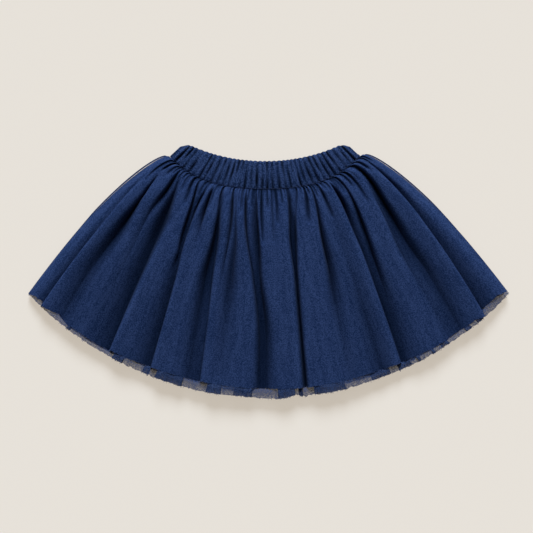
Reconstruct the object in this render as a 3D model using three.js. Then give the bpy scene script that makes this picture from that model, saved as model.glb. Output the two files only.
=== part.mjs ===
import * as THREE from 'three';

// A small child's tulle skirt, laid flat on its back. Millimetres: X runs across it, Y up it towards the
// waist, Z up from the surface. The cloth fans out from one centre above the waist, so a place on a panel
// is given by two numbers: across, -1 at the left side seam and 1 at the right, and down, 0 at the waist
// seam and 1 at the longest hem.

// Driving sizes
const FAN_X = -3.4;
const FAN_Y = 227.8;
const SEAM_RADIUS = 137.3;
const SEAM_SCALLOP = 4.5;
const SEAM_SCALLOP_ANGLE = 42;
const HEM_RADIUS = 370;
const HEM_TILT_PER_DEGREE = 0.062;
const LEFT_SPREAD = 46.4;
const RIGHT_SPREAD = 47.3;
const SIDE_FLARE = 4.4;
const SIDE_FLARE_POWER = 0.45;
const SEAM_GAP = 0.3;

// Layers, from the surface up
const OUTER_WALL = 1.4;
const UNDER_WALL = 1.2;
const BACK_WALL = 1.5;
const UNDER_BACK_BASE = BACK_WALL + SEAM_GAP;
const UNDER_FRONT_BASE = UNDER_BACK_BASE + UNDER_WALL + SEAM_GAP;
const VALLEY_FLOOR = UNDER_FRONT_BASE + UNDER_WALL + SEAM_GAP + OUTER_WALL + 0.1;
const SIDE_EDGE_HEIGHT = BACK_WALL + SEAM_GAP + OUTER_WALL + 0.1;
const OUTER_HEM_DOWN = 0.971;
const BACK_HEM_SHORTER = 0.018;
const UNDER_SHARE_STATIONS = [0, 0.1, OUTER_HEM_DOWN, 1];
const UNDER_SHARES = [0.92, 0.955, 0.955, 1];
const SIDE_ROLL = 0.07;

// The under layer follows the outer one's folds at a share of their height, clear of them to each side.
const UNDER_FOLLOW = 0.5;
const UNDER_REACH = 13;
const INSIDE_REACH_AT_SEAM = 2.4;
const INSIDE_REACH_AT_HEM = 3;

// Folds of the front, left to right: where the crease runs across, at each of STATIONS down; how far it drops
// below the crest there, in mm; and the widths in mm of its left and its right flank, at FLANK_FROM down and
// at the hem. A flank narrows towards the seam, and a narrow one stands up with a crisp edge.
const STATIONS = [0, 0.12, 0.25, 0.45, 0.65, 1];
const FOLDS = [
  [[-0.965, -0.955, -0.939, -0.924, -0.923, -0.928], [0, 1, 3, 2, 4, 4], [5, 9], [2.2, 2.2]],
  [[-0.888, -0.878, -0.848, -0.831, -0.838, -0.838], [0, 1, 14, 14, 9, 3], [2.8, 12], [2.2, 14]],
  [[-0.815, -0.770, -0.757, -0.728, -0.715, -0.705], [2, 10, 4, 2, 1, 0], [3, 12], [6, 14]],
  [[-0.780, -0.705, -0.660, -0.630, -0.620, -0.613], [2, 7, 20, 16, 13, 6], [6, 22], [4, 2.2]],
  [[-0.620, -0.562, -0.532, -0.490, -0.480, -0.475], [4, 11, 13, 1, 0, 0], [2.2, 4], [4, 6]],
  [[-0.525, -0.511, -0.492, -0.461, -0.448, -0.442], [4, 9, 10, 11, 12, 8], [4, 18], [2.2, 2.2]],
  [[-0.474, -0.446, -0.422, -0.389, -0.380, -0.383], [2, 11, 3, 0, 0, 0], [4, 8], [2.2, 8]],
  [[-0.403, -0.356, -0.331, -0.314, -0.304, -0.295], [4, 6, 16, 13, 8, 3], [2.2, 12], [5, 9]],
  [[-0.385, -0.340, -0.304, -0.274, -0.256, -0.245], [1, 3, 8, 10, 6, 5], [5, 12], [2.2, 2.2]],
  [[-0.300, -0.256, -0.232, -0.222, -0.210, -0.200], [6, 12, 7, 1, 0, 0], [3, 5], [3, 5]],
  [[-0.268, -0.224, -0.185, -0.179, -0.177, -0.178], [3, 3, 8, 10, 5, 0], [4, 12], [2.2, 12]],
  [[-0.175, -0.147, -0.112, -0.062, -0.028, -0.022], [3, 13, 10, 9, 9, 5], [2.2, 5], [3, 8]],
  [[-0.083, -0.060, -0.034, -0.020, 0.000, 0.002], [6, 11, 16, 12, 10, 4], [6, 8], [2.2, 7]],
  [[0.213, 0.182, 0.158, 0.153, 0.150, 0.146], [8, 12, 14, 14, 14, 12], [2.2, 3], [5, 5]],
  [[0.296, 0.232, 0.199, 0.178, 0.168, 0.161], [5, 4, 12, 13, 14, 12], [5, 5], [2.2, 2.2]],
  [[0.425, 0.390, 0.354, 0.339, 0.326, 0.322], [4, 7, 15, 12, 5, 1], [2.2, 8], [4, 10]],
  [[0.480, 0.465, 0.455, 0.445, 0.440, 0.440], [0, 1, 2, 3, 5, 5], [8, 12], [8, 12]],
  [[0.590, 0.572, 0.550, 0.532, 0.523, 0.516], [1, 12, 11, 11, 12, 7], [2.2, 2.2], [5, 16]],
  [[0.672, 0.656, 0.627, 0.584, 0.560, 0.550], [2, 5, 13, 9, 2, 0], [5, 8], [2.2, 8]],
  [[0.825, 0.796, 0.756, 0.717, 0.714, 0.720], [1, 2, 5, 6, 3, 1], [2.2, 6], [7, 12]],
  [[0.860, 0.836, 0.800, 0.766, 0.772, 0.770], [1, 14, 15, 11, 8, 4], [5, 14], [3, 12]],
  [[0.945, 0.928, 0.911, 0.891, 0.883, 0.873], [4, 4, 6, 6, 7, 6], [2.2, 2.2], [5, 14]],
].map(([at, deep, left, right]) => ({ at, deep, left, right }));
const FLANK_FROM = 0.25;
const FLANK_AT_SEAM = 0.35;
const CRISP_FLANK = 2.2;
const CRISP_POWER = 2;
const SOFT_FLANK = 5;
const SOFT_POWER = 1.3;
const LIP_HEIGHT = 1.3;
const LIP_WIDTH = 6;
const LIP_FULL_DEPTH = 5;

// Gathers below the waist seam, between the folds: place across at the seam, how far down, depth in mm.
const GATHERS = [
  [-0.938, 0.18, 4.0], [-0.902, 0.07, 4.0], [-0.860, 0.08, 4.0], [-0.840, 0.06, 3.0],
  [-0.755, 0.07, 3.0], [-0.728, 0.10, 4.0], [-0.675, 0.15, 7.0], [-0.650, 0.06, 3.0],
  [-0.575, 0.13, 5.0], [-0.550, 0.06, 3.0], [-0.458, 0.13, 5.0], [-0.430, 0.06, 3.5],
  [-0.350, 0.07, 3.0], [-0.325, 0.05, 2.5], [-0.240, 0.08, 3.5], [-0.215, 0.12, 5.0],
  [-0.150, 0.06, 4.0], [-0.125, 0.09, 6.0], [-0.105, 0.05, 3.0], [-0.057, 0.06, 3.0],
  [-0.032, 0.26, 10.0], [-0.005, 0.06, 3.0], [0.022, 0.10, 5.0], [0.060, 0.26, 4.0],
  [0.080, 0.06, 3.0], [0.100, 0.17, 8.0], [0.125, 0.05, 3.0], [0.150, 0.07, 5.0],
  [0.183, 0.06, 4.0], [0.245, 0.07, 4.0], [0.272, 0.05, 3.0], [0.330, 0.06, 3.0],
  [0.368, 0.18, 8.0], [0.395, 0.06, 3.0], [0.450, 0.07, 4.0], [0.490, 0.19, 6.0],
  [0.535, 0.05, 3.0], [0.565, 0.06, 3.5], [0.625, 0.07, 4.0], [0.645, 0.10, 5.0],
  [0.668, 0.06, 3.0], [0.725, 0.10, 4.5], [0.755, 0.05, 3.0], [0.760, 0.20, 5.0],
  [0.845, 0.06, 4.0], [0.905, 0.10, 3.0], [0.972, 0.10, 3.5],
].map(([at, reach, deep]) => ({ at, reach, deep }));
const GATHER_WIDTH = 1.5;
const GATHERS_DOWN = 0.2;
const CREST_STATIONS = [0, 0.02, 0.08, 0.22, 0.5, 0.75, 1];
const CREST_HEIGHTS = [8.2, 13.5, 18, 20.5, 20.5, 18, 14.5];

// Rows of points, as places down
const OUTSIDE_ROWS = [
  0, 0.02, 0.05, 0.09, 0.14, 0.2, 0.27, 0.35, 0.45, 0.55, 0.66, 0.77, 0.88, OUTER_HEM_DOWN,
];
const INSIDE_ROWS = [0, 0.05, 0.14, 0.27, 0.45, 0.66, 0.88, OUTER_HEM_DOWN];
const UNDER_ROWS = [0, 0.06, 0.13, 0.2, 0.3, 0.42, 0.55, 0.68, 0.82, OUTER_HEM_DOWN, 1];
const BACK_ROWS = [0, 0.03, 0.1, 0.25, 0.45, 0.7];

// Columns between two creases, as shares of the panel, with close ones beside each crease for its edge
const WIDE_PANEL = [0, 0.06, 0.14, 0.26, 0.38, 0.5, 0.62, 0.74, 0.86, 0.94];
const MIDDLE_PANEL = [0, 0.12, 0.28, 0.46, 0.64, 0.8, 0.92];
const NARROW_PANEL = [0, 0.3, 0.7];
const WIDE_FROM = 0.14;
const MIDDLE_FROM = 0.065;
const UNDER_COLUMNS = 64;
const OUTER_BACK_COLUMNS = 48;
const UNDER_BACK_COLUMNS = 40;

// Waistband: a flattened tube of gathered casing
const BAND_SPREAD = 46.7;
const BAND_TOP_RADIUS = 106.1;
const BAND_TOP_SAG = 15.2;
const BAND_TOP_SAG_ANGLE = 43;
const BAND_CORNER = 5;
const BAND_HEIGHT = 7.2;
const BAND_RIBS = 35;
const RIB_RAISE = 1.3;
const RIB_SCALLOP = 0.9;
const RIB_POWER = 0.8;
const BAND_FOLD_SHARE = 0.8;
const BAND_END_DROP = 0.6;
const BAND_END_POWER = 24;
const BAND_END_BULGE = 0.9;
const BAND_END_HEIGHT = 5.4;
const BAND_END_SHARES = [0.75, 0.45, 0.2];
const BAND_COLUMNS_PER_RIB = 4;
const BAND_BACK_COLUMNS = 28;
const BAND_ROWS = [0, 0.08, 0.25, 0.5, 0.75, 0.92, 1];
const BAND_SLIT_LOW = 3.3;
const BAND_SLIT_HIGH = 3.9;
const BAND_SLIT_SPREAD = 44.4;
const BAND_SLIT_COLUMNS = 40;
const BAND_SLIT_ROWS = [0, 0.5, 1];

const DEGREE = Math.PI / 180;
const { clamp, lerp } = THREE.MathUtils;

// A smooth curve through the values of a table, read at any place between its stations.
function alongTable(stations, values, place) {
  const last = stations.length - 1;
  const here = clamp(place, stations[0], stations[last]);
  let k = 0;
  while (k < last - 1 && here > stations[k + 1]) k += 1;
  const slope = (a, b) => (values[b] - values[a]) / (stations[b] - stations[a]);
  const width = stations[k + 1] - stations[k];
  const part = (here - stations[k]) / width;
  const rise = slope(k, k + 1);
  const into = k > 0 ? (slope(k - 1, k) + rise) / 2 : rise;
  const out = k + 2 <= last ? (rise + slope(k + 1, k + 2)) / 2 : rise;
  const rest = 1 - part;
  const bow = part * rest * width * ((into - rise) * rest - (out - rise) * part);
  return values[k] + (values[k + 1] - values[k]) * part + bow;
}

// The fan: how far it spreads to a side, and the radii of its seam and hem.
function spread(across, down) {
  const flare = SIDE_FLARE * Math.sin(Math.PI * Math.max(down, 0) ** SIDE_FLARE_POWER);
  return (across < 0 ? LEFT_SPREAD : RIGHT_SPREAD) + flare;
}

function seamRadius(angle) {
  const turn = angle * (180 / SEAM_SCALLOP_ANGLE) * DEGREE;
  return SEAM_RADIUS + SEAM_SCALLOP * (1 - Math.cos(turn));
}

function fallRadius(angle, down) {
  const hem = HEM_RADIUS + HEM_TILT_PER_DEGREE * angle;
  return lerp(seamRadius(angle) + SEAM_GAP / 2, hem, down);
}

function fanPoint(angle, radius, height) {
  const turn = angle * DEGREE;
  return [FAN_X + radius * Math.sin(turn), FAN_Y - radius * Math.cos(turn), height];
}

function skirtPoint(across, down, height) {
  const angle = across * spread(across, down);
  return fanPoint(angle, fallRadius(angle, down), height);
}

// Millimetres of cloth in one unit across, at a place down the fan.
function widthPerUnit(across, down) {
  const angle = across * spread(across, down);
  return spread(across, down) * DEGREE * fallRadius(angle, down);
}

// The lines that the columns of points follow: the side seams and every crease between them.
const GUIDES = [
  { at: STATIONS.map(() => -1) },
  ...FOLDS,
  { at: STATIONS.map(() => 1) },
];

function guidePlaces(down) {
  return GUIDES.map((guide) => alongTable(STATIONS, guide.at, down));
}

// Where a point of the cloth was at the waist seam, for gathers that fan out with the folds.
function placeAtSeam(across, places, seamPlaces) {
  let k = 0;
  while (k < places.length - 2 && across > places[k + 1]) k += 1;
  const part = (across - places[k]) / (places[k + 1] - places[k]);
  return lerp(seamPlaces[k], seamPlaces[k + 1], part);
}

const SEAM_PLACES = guidePlaces(0);

// Height of the front's outside: a crest level with creases and gathers sunk into it, rolled down at the
// side seams to meet the back.
function frontHeight(across, down) {
  const unit = widthPerUnit(across, down);
  const places = guidePlaces(down);
  let drop = 0;
  FOLDS.forEach((fold, k) => {
    const off = (across - places[k + 1]) * unit;
    const deep = Math.max(0, alongTable(STATIONS, fold.deep, down));
    const flank = off < 0 ? fold.left : fold.right;
    const taper = lerp(FLANK_AT_SEAM, 1, Math.min(1, down / FLANK_FROM));
    const width = lerp(...flank, Math.max(0, down - FLANK_FROM) / (1 - FLANK_FROM)) * taper;
    const crisp = clamp((SOFT_FLANK - width) / (SOFT_FLANK - CRISP_FLANK), 0, 1);
    const power = lerp(SOFT_POWER, CRISP_POWER, crisp);
    const lip = Math.exp(-(((Math.abs(off) - LIP_WIDTH) / LIP_WIDTH) ** 2));
    drop += deep * Math.exp(-((Math.abs(off) / width) ** power));
    drop -= LIP_HEIGHT * crisp * Math.min(1, deep / LIP_FULL_DEPTH) * lip;
  });
  const seamPlace = placeAtSeam(across, places, SEAM_PLACES);
  const seamUnit = widthPerUnit(across, 0);
  for (const gather of GATHERS) {
    const fade = 1 - down / gather.reach;
    if (fade > 0) {
      const off = (seamPlace - gather.at) * seamUnit;
      drop += gather.deep * Math.sqrt(fade) * Math.exp(-((off / GATHER_WIDTH) ** 2));
    }
  }
  const room = alongTable(CREST_STATIONS, CREST_HEIGHTS, down) - VALLEY_FLOOR;
  const full = VALLEY_FLOOR + room * (1 - Math.tanh(drop / room));
  const roll = clamp((Math.abs(across) - (1 - SIDE_ROLL)) / SIDE_ROLL, 0, 1);
  return lerp(SIDE_EDGE_HEIGHT, full, Math.sqrt(1 - roll * roll));
}

// The lowest value that a height takes within some millimetres to each side.
function lowestNear(height, across, down, reach) {
  const step = reach / widthPerUnit(across, down) / 4;
  let lowest = Infinity;
  for (let k = -4; k <= 4; k += 1) {
    lowest = Math.min(lowest, height(clamp(across + k * step, -1, 1), down));
  }
  return lowest;
}

function frontInside(across, down) {
  const reach = lerp(INSIDE_REACH_AT_SEAM, INSIDE_REACH_AT_HEM, down);
  return lowestNear(frontHeight, across, down, reach) - OUTER_WALL;
}

function underHeight(across, down) {
  const lowest = UNDER_FRONT_BASE + UNDER_WALL;
  const ceiling = lowestNear(frontInside, across, down, UNDER_REACH) - SEAM_GAP;
  return lowest + UNDER_FOLLOW * Math.max(0, ceiling - lowest);
}

function underInside(across, down) {
  return Math.max(UNDER_FRONT_BASE, underHeight(across, down) - UNDER_WALL);
}

// Builds one closed skin out of chains of points. A chain holds { index, place } in order of place.
class Skin {
  constructor() {
    this.positions = [];
    this.triangles = [];
  }

  chain(places, point) {
    return places.map((place) => {
      this.positions.push(...point(place));
      return { index: this.positions.length / 3 - 1, place };
    });
  }

  // Joins two chains with triangles, stepping along whichever lags, so that they may differ in count.
  stitch(first, second, flip = false) {
    let a = 0;
    let b = 0;
    while (a < first.length - 1 || b < second.length - 1) {
      const nextA = a < first.length - 1 ? first[a + 1].place : Infinity;
      const nextB = b < second.length - 1 ? second[b + 1].place : Infinity;
      const here = [first[a].index, second[b].index];
      const stepA = nextA <= nextB;
      if (stepA) a += 1;
      else b += 1;
      const next = stepA ? first[a].index : second[b].index;
      if (flip) this.triangles.push(here[1], here[0], next);
      else this.triangles.push(here[0], here[1], next);
    }
  }

  geometry() {
    const geometry = new THREE.BufferGeometry();
    geometry.setAttribute('position', new THREE.Float32BufferAttribute(this.positions, 3));
    geometry.setIndex(this.triangles);
    geometry.computeVertexNormals();
    return geometry;
  }
}

// A panel between an outside and an inside surface. Each side has its own rows, as places down, its
// columns(down) as places across in units that both share, and point(column, down) for its points.
function panelSkin(outside, inside) {
  const skin = new Skin();
  const chains = (side) => side.rows.map((down) => (
    skin.chain(side.columns(down), (column) => side.point(column, down))
  ));
  const over = chains(outside);
  const under = chains(inside);
  for (let k = 0; k < over.length - 1; k += 1) skin.stitch(over[k], over[k + 1]);
  for (let k = 0; k < under.length - 1; k += 1) skin.stitch(under[k], under[k + 1], true);
  skin.stitch(under[0], over[0]);
  skin.stitch(under.at(-1), over.at(-1), true);
  const edge = (side, of, end) => (
    of.map((chain, k) => ({ index: chain.at(end).index, place: side.rows[k] }))
  );
  skin.stitch(edge(outside, over, 0), edge(inside, under, 0));
  skin.stitch(edge(outside, over, -1), edge(inside, under, -1), true);
  return skin.geometry();
}

// Columns in guide units: whole numbers are the guides.
function coarseColumns() {
  const columns = [];
  const middles = guidePlaces(0.5);
  for (let k = 0; k < GUIDES.length - 1; k += 1) {
    const width = middles[k + 1] - middles[k];
    const narrower = width > MIDDLE_FROM ? MIDDLE_PANEL : NARROW_PANEL;
    const parts = width > WIDE_FROM ? WIDE_PANEL : narrower;
    parts.forEach((part) => columns.push(k + part));
  }
  columns.push(GUIDES.length - 1);
  return columns;
}

function withMiddles(columns) {
  return columns.flatMap((place, k) => (
    k < columns.length - 1 ? [place, (place + columns[k + 1]) / 2] : [place]
  ));
}

function acrossOf(column, down) {
  const places = guidePlaces(down);
  const k = Math.min(Math.floor(column), places.length - 2);
  return lerp(places[k], places[k + 1], column - k);
}

function outerFront() {
  const coarse = coarseColumns();
  const fine = withMiddles(coarse);
  const surface = (rows, columns, height) => ({
    rows,
    columns,
    point: (column, down) => {
      const across = acrossOf(column, down);
      return skirtPoint(across, down, height(across, down));
    },
  });
  return panelSkin(
    surface(OUTSIDE_ROWS, (down) => (down <= GATHERS_DOWN ? fine : coarse), frontHeight),
    surface(INSIDE_ROWS, () => coarse, frontInside),
  );
}

// Evenly spaced columns, for the panels that lie below the front.
function evenColumns(count) {
  return Array.from({ length: count + 1 }, (_, k) => k / count);
}

// The under layer stays inside the outer one and spreads to the full width where it comes out at the hem.
function underAcross(column, down) {
  return lerp(-1, 1, column) * alongTable(UNDER_SHARE_STATIONS, UNDER_SHARES, down);
}

function underFront() {
  const columns = evenColumns(UNDER_COLUMNS);
  const surface = (height) => ({
    rows: UNDER_ROWS,
    columns: () => columns,
    point: (column, down) => {
      const across = underAcross(column, down);
      return skirtPoint(across, down, height(across, down));
    },
  });
  return panelSkin(surface(underHeight), surface(underInside));
}

// A back panel lies flat, pressed under the weight of the rest.
function flatPanel(hem, count, acrossAt, base, wall) {
  const columns = evenColumns(count);
  const surface = (height) => ({
    rows: [...BACK_ROWS, hem],
    columns: () => columns,
    point: (column, down) => skirtPoint(acrossAt(column, down), down, height),
  });
  return panelSkin(surface(base + wall), surface(base));
}

function outerBack() {
  const hem = OUTER_HEM_DOWN - BACK_HEM_SHORTER;
  return flatPanel(hem, OUTER_BACK_COLUMNS, (column) => lerp(-1, 1, column), 0, BACK_WALL);
}

function underBack() {
  const hem = 1 - BACK_HEM_SHORTER;
  return flatPanel(hem, UNDER_BACK_COLUMNS, underAcross, UNDER_BACK_BASE, UNDER_WALL);
}

// The waistband's outline: radius of its top edge, which sags in the middle and is rounded at the ends.
function bandTopRadius(angle) {
  const corner = Math.max(0, Math.abs(angle) - BAND_TOP_SAG_ANGLE) / (BAND_SPREAD - BAND_TOP_SAG_ANGLE);
  const sag = BAND_TOP_SAG * (angle / BAND_TOP_SAG_ANGLE) ** 2;
  return BAND_TOP_RADIUS + sag + BAND_CORNER * corner * corner;
}

function bandPoint(angle, up, height, scallop) {
  const seam = seamRadius(angle) - SEAM_GAP / 2;
  const top = bandTopRadius(angle) - scallop;
  return fanPoint(angle, lerp(seam, top, up), height);
}

// Ribs of the gathered casing: 0 in a groove and 1 on a crest.
function ribRise(column) {
  return Math.abs(Math.sin(Math.PI * column * BAND_RIBS)) ** RIB_POWER;
}

// Share of the band's height: less along its seam and its top fold than between them.
function bandBulge(up) {
  return lerp(BAND_FOLD_SHARE, 1, Math.sqrt(Math.max(0, 1 - (2 * up - 1) ** 2)));
}

function bandFront(column, up) {
  const angle = lerp(-BAND_SPREAD, BAND_SPREAD, column);
  const rise = ribRise(column);
  const round = Math.sqrt(1 - BAND_END_DROP * Math.abs(2 * column - 1) ** BAND_END_POWER);
  const height = (BAND_HEIGHT * bandBulge(up) + RIB_RAISE * rise) * round;
  return bandPoint(angle, up, height, RIB_SCALLOP * rise * up);
}

// The rounded turn from the front to the back at one end: share is how high it is, from 1 to 0.
function bandEnd(side, share, up) {
  const out = BAND_END_BULGE * Math.sin(Math.PI * share);
  return bandPoint(side * (BAND_SPREAD + out), up, BAND_END_HEIGHT * share, 0);
}

// Joins runs of points into one loop. Each run takes up one unit of place, whatever its count.
function closedLoop(skin, runs) {
  const loop = runs.flatMap((points, run) => {
    const places = points.map((_, k) => run + k / points.length);
    return skin.chain(places, (place) => points[Math.round((place - run) * points.length)]);
  });
  return [...loop, { index: loop[0].index, place: runs.length }];
}

// Four runs outside: the front from the left end to the right, the right end, the back and the left end.
function bandOutside(skin, up) {
  const front = evenColumns(BAND_RIBS * BAND_COLUMNS_PER_RIB).map((column) => bandFront(column, up));
  const back = evenColumns(BAND_BACK_COLUMNS).map((column) => (
    bandPoint(lerp(BAND_SPREAD, -BAND_SPREAD, column), up, 0, 0)
  ));
  const right = BAND_END_SHARES.map((share) => bandEnd(1, share, up));
  const left = BAND_END_SHARES.toReversed().map((share) => bandEnd(-1, share, up));
  return closedLoop(skin, [front, right, back, left]);
}

// The slit has the same four runs, with its ends shrunk to the corners that they begin from.
function bandInside(skin, up) {
  const side = (from, height) => evenColumns(BAND_SLIT_COLUMNS).map((column) => (
    bandPoint(lerp(from, -from, column), up, height, 0)
  ));
  const front = side(-BAND_SLIT_SPREAD, BAND_SLIT_HIGH);
  const back = side(BAND_SLIT_SPREAD, BAND_SLIT_LOW);
  return closedLoop(skin, [front.slice(0, -1), front.slice(-1), back.slice(0, -1), back.slice(-1)]);
}

function waistband() {
  const skin = new Skin();
  const outside = BAND_ROWS.map((up) => bandOutside(skin, up));
  const inside = BAND_SLIT_ROWS.map((up) => bandInside(skin, up));
  for (let k = 0; k < outside.length - 1; k += 1) skin.stitch(outside[k], outside[k + 1], true);
  for (let k = 0; k < inside.length - 1; k += 1) skin.stitch(inside[k], inside[k + 1]);
  skin.stitch(outside[0], inside[0]);
  skin.stitch(outside.at(-1), inside.at(-1), true);
  return skin.geometry();
}

function cloth(name, geometry, color, roughness) {
  const material = new THREE.MeshStandardMaterial({ color, roughness, metalness: 0 });
  const mesh = new THREE.Mesh(geometry, material);
  mesh.name = name;
  return mesh;
}

const skirt = new THREE.Group();
skirt.add(cloth('waistband', waistband(), 0x22386b, 0.88));
skirt.add(cloth('outer_tulle_front', outerFront(), 0x20366c, 0.9));
skirt.add(cloth('outer_tulle_back', outerBack(), 0x1d3263, 0.9));
skirt.add(cloth('under_tulle_front', underFront(), 0x46557f, 0.85));
skirt.add(cloth('under_tulle_back', underBack(), 0x414f78, 0.85));

export default skirt;
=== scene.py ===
"""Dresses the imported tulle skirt: folded sheets of tulle, a gathered waistband and frayed hems.

Every size is in metres. A place on the skirt is given in the fan that its cloth falls in: across, -1 at the
left side seam and 1 at the right one, and down, 0 at the waist seam and 1 at the longest hem.
"""

import logging
import math
from dataclasses import dataclass
from enum import Enum

import bpy
import numpy as np
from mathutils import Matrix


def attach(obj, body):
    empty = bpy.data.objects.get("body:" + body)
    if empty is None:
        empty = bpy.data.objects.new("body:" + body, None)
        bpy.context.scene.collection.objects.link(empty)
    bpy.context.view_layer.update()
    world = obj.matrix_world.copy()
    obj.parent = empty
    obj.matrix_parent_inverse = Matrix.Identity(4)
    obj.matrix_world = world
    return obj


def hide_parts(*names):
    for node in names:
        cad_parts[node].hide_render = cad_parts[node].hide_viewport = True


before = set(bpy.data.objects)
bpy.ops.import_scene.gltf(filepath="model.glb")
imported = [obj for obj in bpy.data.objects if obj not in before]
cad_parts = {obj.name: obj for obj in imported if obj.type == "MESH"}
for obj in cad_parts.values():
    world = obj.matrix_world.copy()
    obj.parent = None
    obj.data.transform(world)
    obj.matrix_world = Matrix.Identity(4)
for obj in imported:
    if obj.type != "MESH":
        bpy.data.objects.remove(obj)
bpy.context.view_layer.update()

LOG = logging.getLogger("skirt")
MM = 0.001
CASING = 30 * MM
HEM_ROWS = 3
BODY = "root"


@dataclass(frozen=True)
class Fold:
    """A crease that runs down the skirt.

    at holds its place across at each of STATIONS, and deep its depth below the crests there, in
    millimetres. left and right hold the widths of its two flanks in millimetres, at FLANK_FROM down and at
    the hem. A narrow flank stands up with a crisp edge.
    """

    at: tuple[float, ...]
    deep: tuple[float, ...]
    left: tuple[float, float]
    right: tuple[float, float]

    def place(self, down: np.ndarray) -> np.ndarray:
        """Where the crease runs across, at places down."""
        return along_table(STATIONS, self.at, down)

    def depth(self, down: np.ndarray) -> np.ndarray:
        """How far the crease drops below the crests, in metres."""
        return np.maximum(0, along_table(STATIONS, self.deep, down)) * MM

    def width(self, off: np.ndarray, down: np.ndarray) -> np.ndarray:
        """Reads how wide the flanks are.

        Args:
            off: How far a place is from the crease, in metres, below 0 on its left.
            down: Places down.

        Returns:
            The width of the flank on that side, in metres.
        """
        left = np.interp(down, (FLANK_FROM, 1), self.left)
        right = np.interp(down, (FLANK_FROM, 1), self.right)
        taper = np.interp(down, (0, FLANK_FROM), (FLANK_AT_SEAM, 1))
        return np.where(off < 0, left, right) * taper * MM


@dataclass(frozen=True)
class Gather:
    """A short groove below the waist seam: its place across there, how far down it runs, and its depth."""

    at: float
    reach: float
    deep: float


STATIONS = (0, 0.12, 0.25, 0.45, 0.65, 1)
FLANK_FROM = 0.25
FLANK_AT_SEAM = 0.35
FOLDS = (
    Fold((-0.965, -0.955, -0.939, -0.924, -0.923, -0.928), (0, 1, 3, 2, 4, 4), (5, 9), (2.2, 2.2)),
    Fold((-0.888, -0.878, -0.848, -0.831, -0.838, -0.838), (0, 1, 14, 14, 9, 3), (2.8, 12), (2.2, 14)),
    Fold((-0.815, -0.770, -0.757, -0.728, -0.715, -0.705), (2, 10, 4, 2, 1, 0), (3, 12), (6, 14)),
    Fold((-0.780, -0.705, -0.660, -0.630, -0.620, -0.613), (2, 7, 20, 16, 13, 6), (6, 22), (4, 2.2)),
    Fold((-0.620, -0.562, -0.532, -0.490, -0.480, -0.475), (4, 11, 13, 1, 0, 0), (2.2, 4), (4, 6)),
    Fold((-0.525, -0.511, -0.492, -0.461, -0.448, -0.442), (4, 9, 10, 11, 12, 8), (4, 18), (2.2, 2.2)),
    Fold((-0.474, -0.446, -0.422, -0.389, -0.380, -0.383), (2, 11, 3, 0, 0, 0), (4, 8), (2.2, 8)),
    Fold((-0.403, -0.356, -0.331, -0.314, -0.304, -0.295), (4, 6, 16, 13, 8, 3), (2.2, 12), (5, 9)),
    Fold((-0.385, -0.340, -0.304, -0.274, -0.256, -0.245), (1, 3, 8, 10, 6, 5), (5, 12), (2.2, 2.2)),
    Fold((-0.300, -0.256, -0.232, -0.222, -0.210, -0.200), (6, 12, 7, 1, 0, 0), (3, 5), (3, 5)),
    Fold((-0.268, -0.224, -0.185, -0.179, -0.177, -0.178), (3, 3, 8, 10, 5, 0), (4, 12), (2.2, 12)),
    Fold((-0.175, -0.147, -0.112, -0.062, -0.028, -0.022), (3, 13, 10, 9, 9, 5), (2.2, 5), (3, 8)),
    Fold((-0.083, -0.060, -0.034, -0.020, 0.000, 0.002), (6, 11, 16, 12, 10, 4), (6, 8), (2.2, 7)),
    Fold((0.213, 0.182, 0.158, 0.153, 0.150, 0.146), (8, 12, 14, 14, 14, 12), (2.2, 3), (5, 5)),
    Fold((0.296, 0.232, 0.199, 0.178, 0.168, 0.161), (5, 4, 12, 13, 14, 12), (5, 5), (2.2, 2.2)),
    Fold((0.425, 0.390, 0.354, 0.339, 0.326, 0.322), (4, 7, 15, 12, 5, 1), (2.2, 8), (4, 10)),
    Fold((0.480, 0.465, 0.455, 0.445, 0.440, 0.440), (0, 1, 2, 3, 5, 5), (8, 12), (8, 12)),
    Fold((0.590, 0.572, 0.550, 0.532, 0.523, 0.516), (1, 12, 11, 11, 12, 7), (2.2, 2.2), (5, 16)),
    Fold((0.672, 0.656, 0.627, 0.584, 0.560, 0.550), (2, 5, 13, 9, 2, 0), (5, 8), (2.2, 8)),
    Fold((0.825, 0.796, 0.756, 0.717, 0.714, 0.720), (1, 2, 5, 6, 3, 1), (2.2, 6), (7, 12)),
    Fold((0.860, 0.836, 0.800, 0.766, 0.772, 0.770), (1, 14, 15, 11, 8, 4), (5, 14), (3, 12)),
    Fold((0.945, 0.928, 0.911, 0.891, 0.883, 0.873), (4, 4, 6, 6, 7, 6), (2.2, 2.2), (5, 14)),
)
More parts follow.
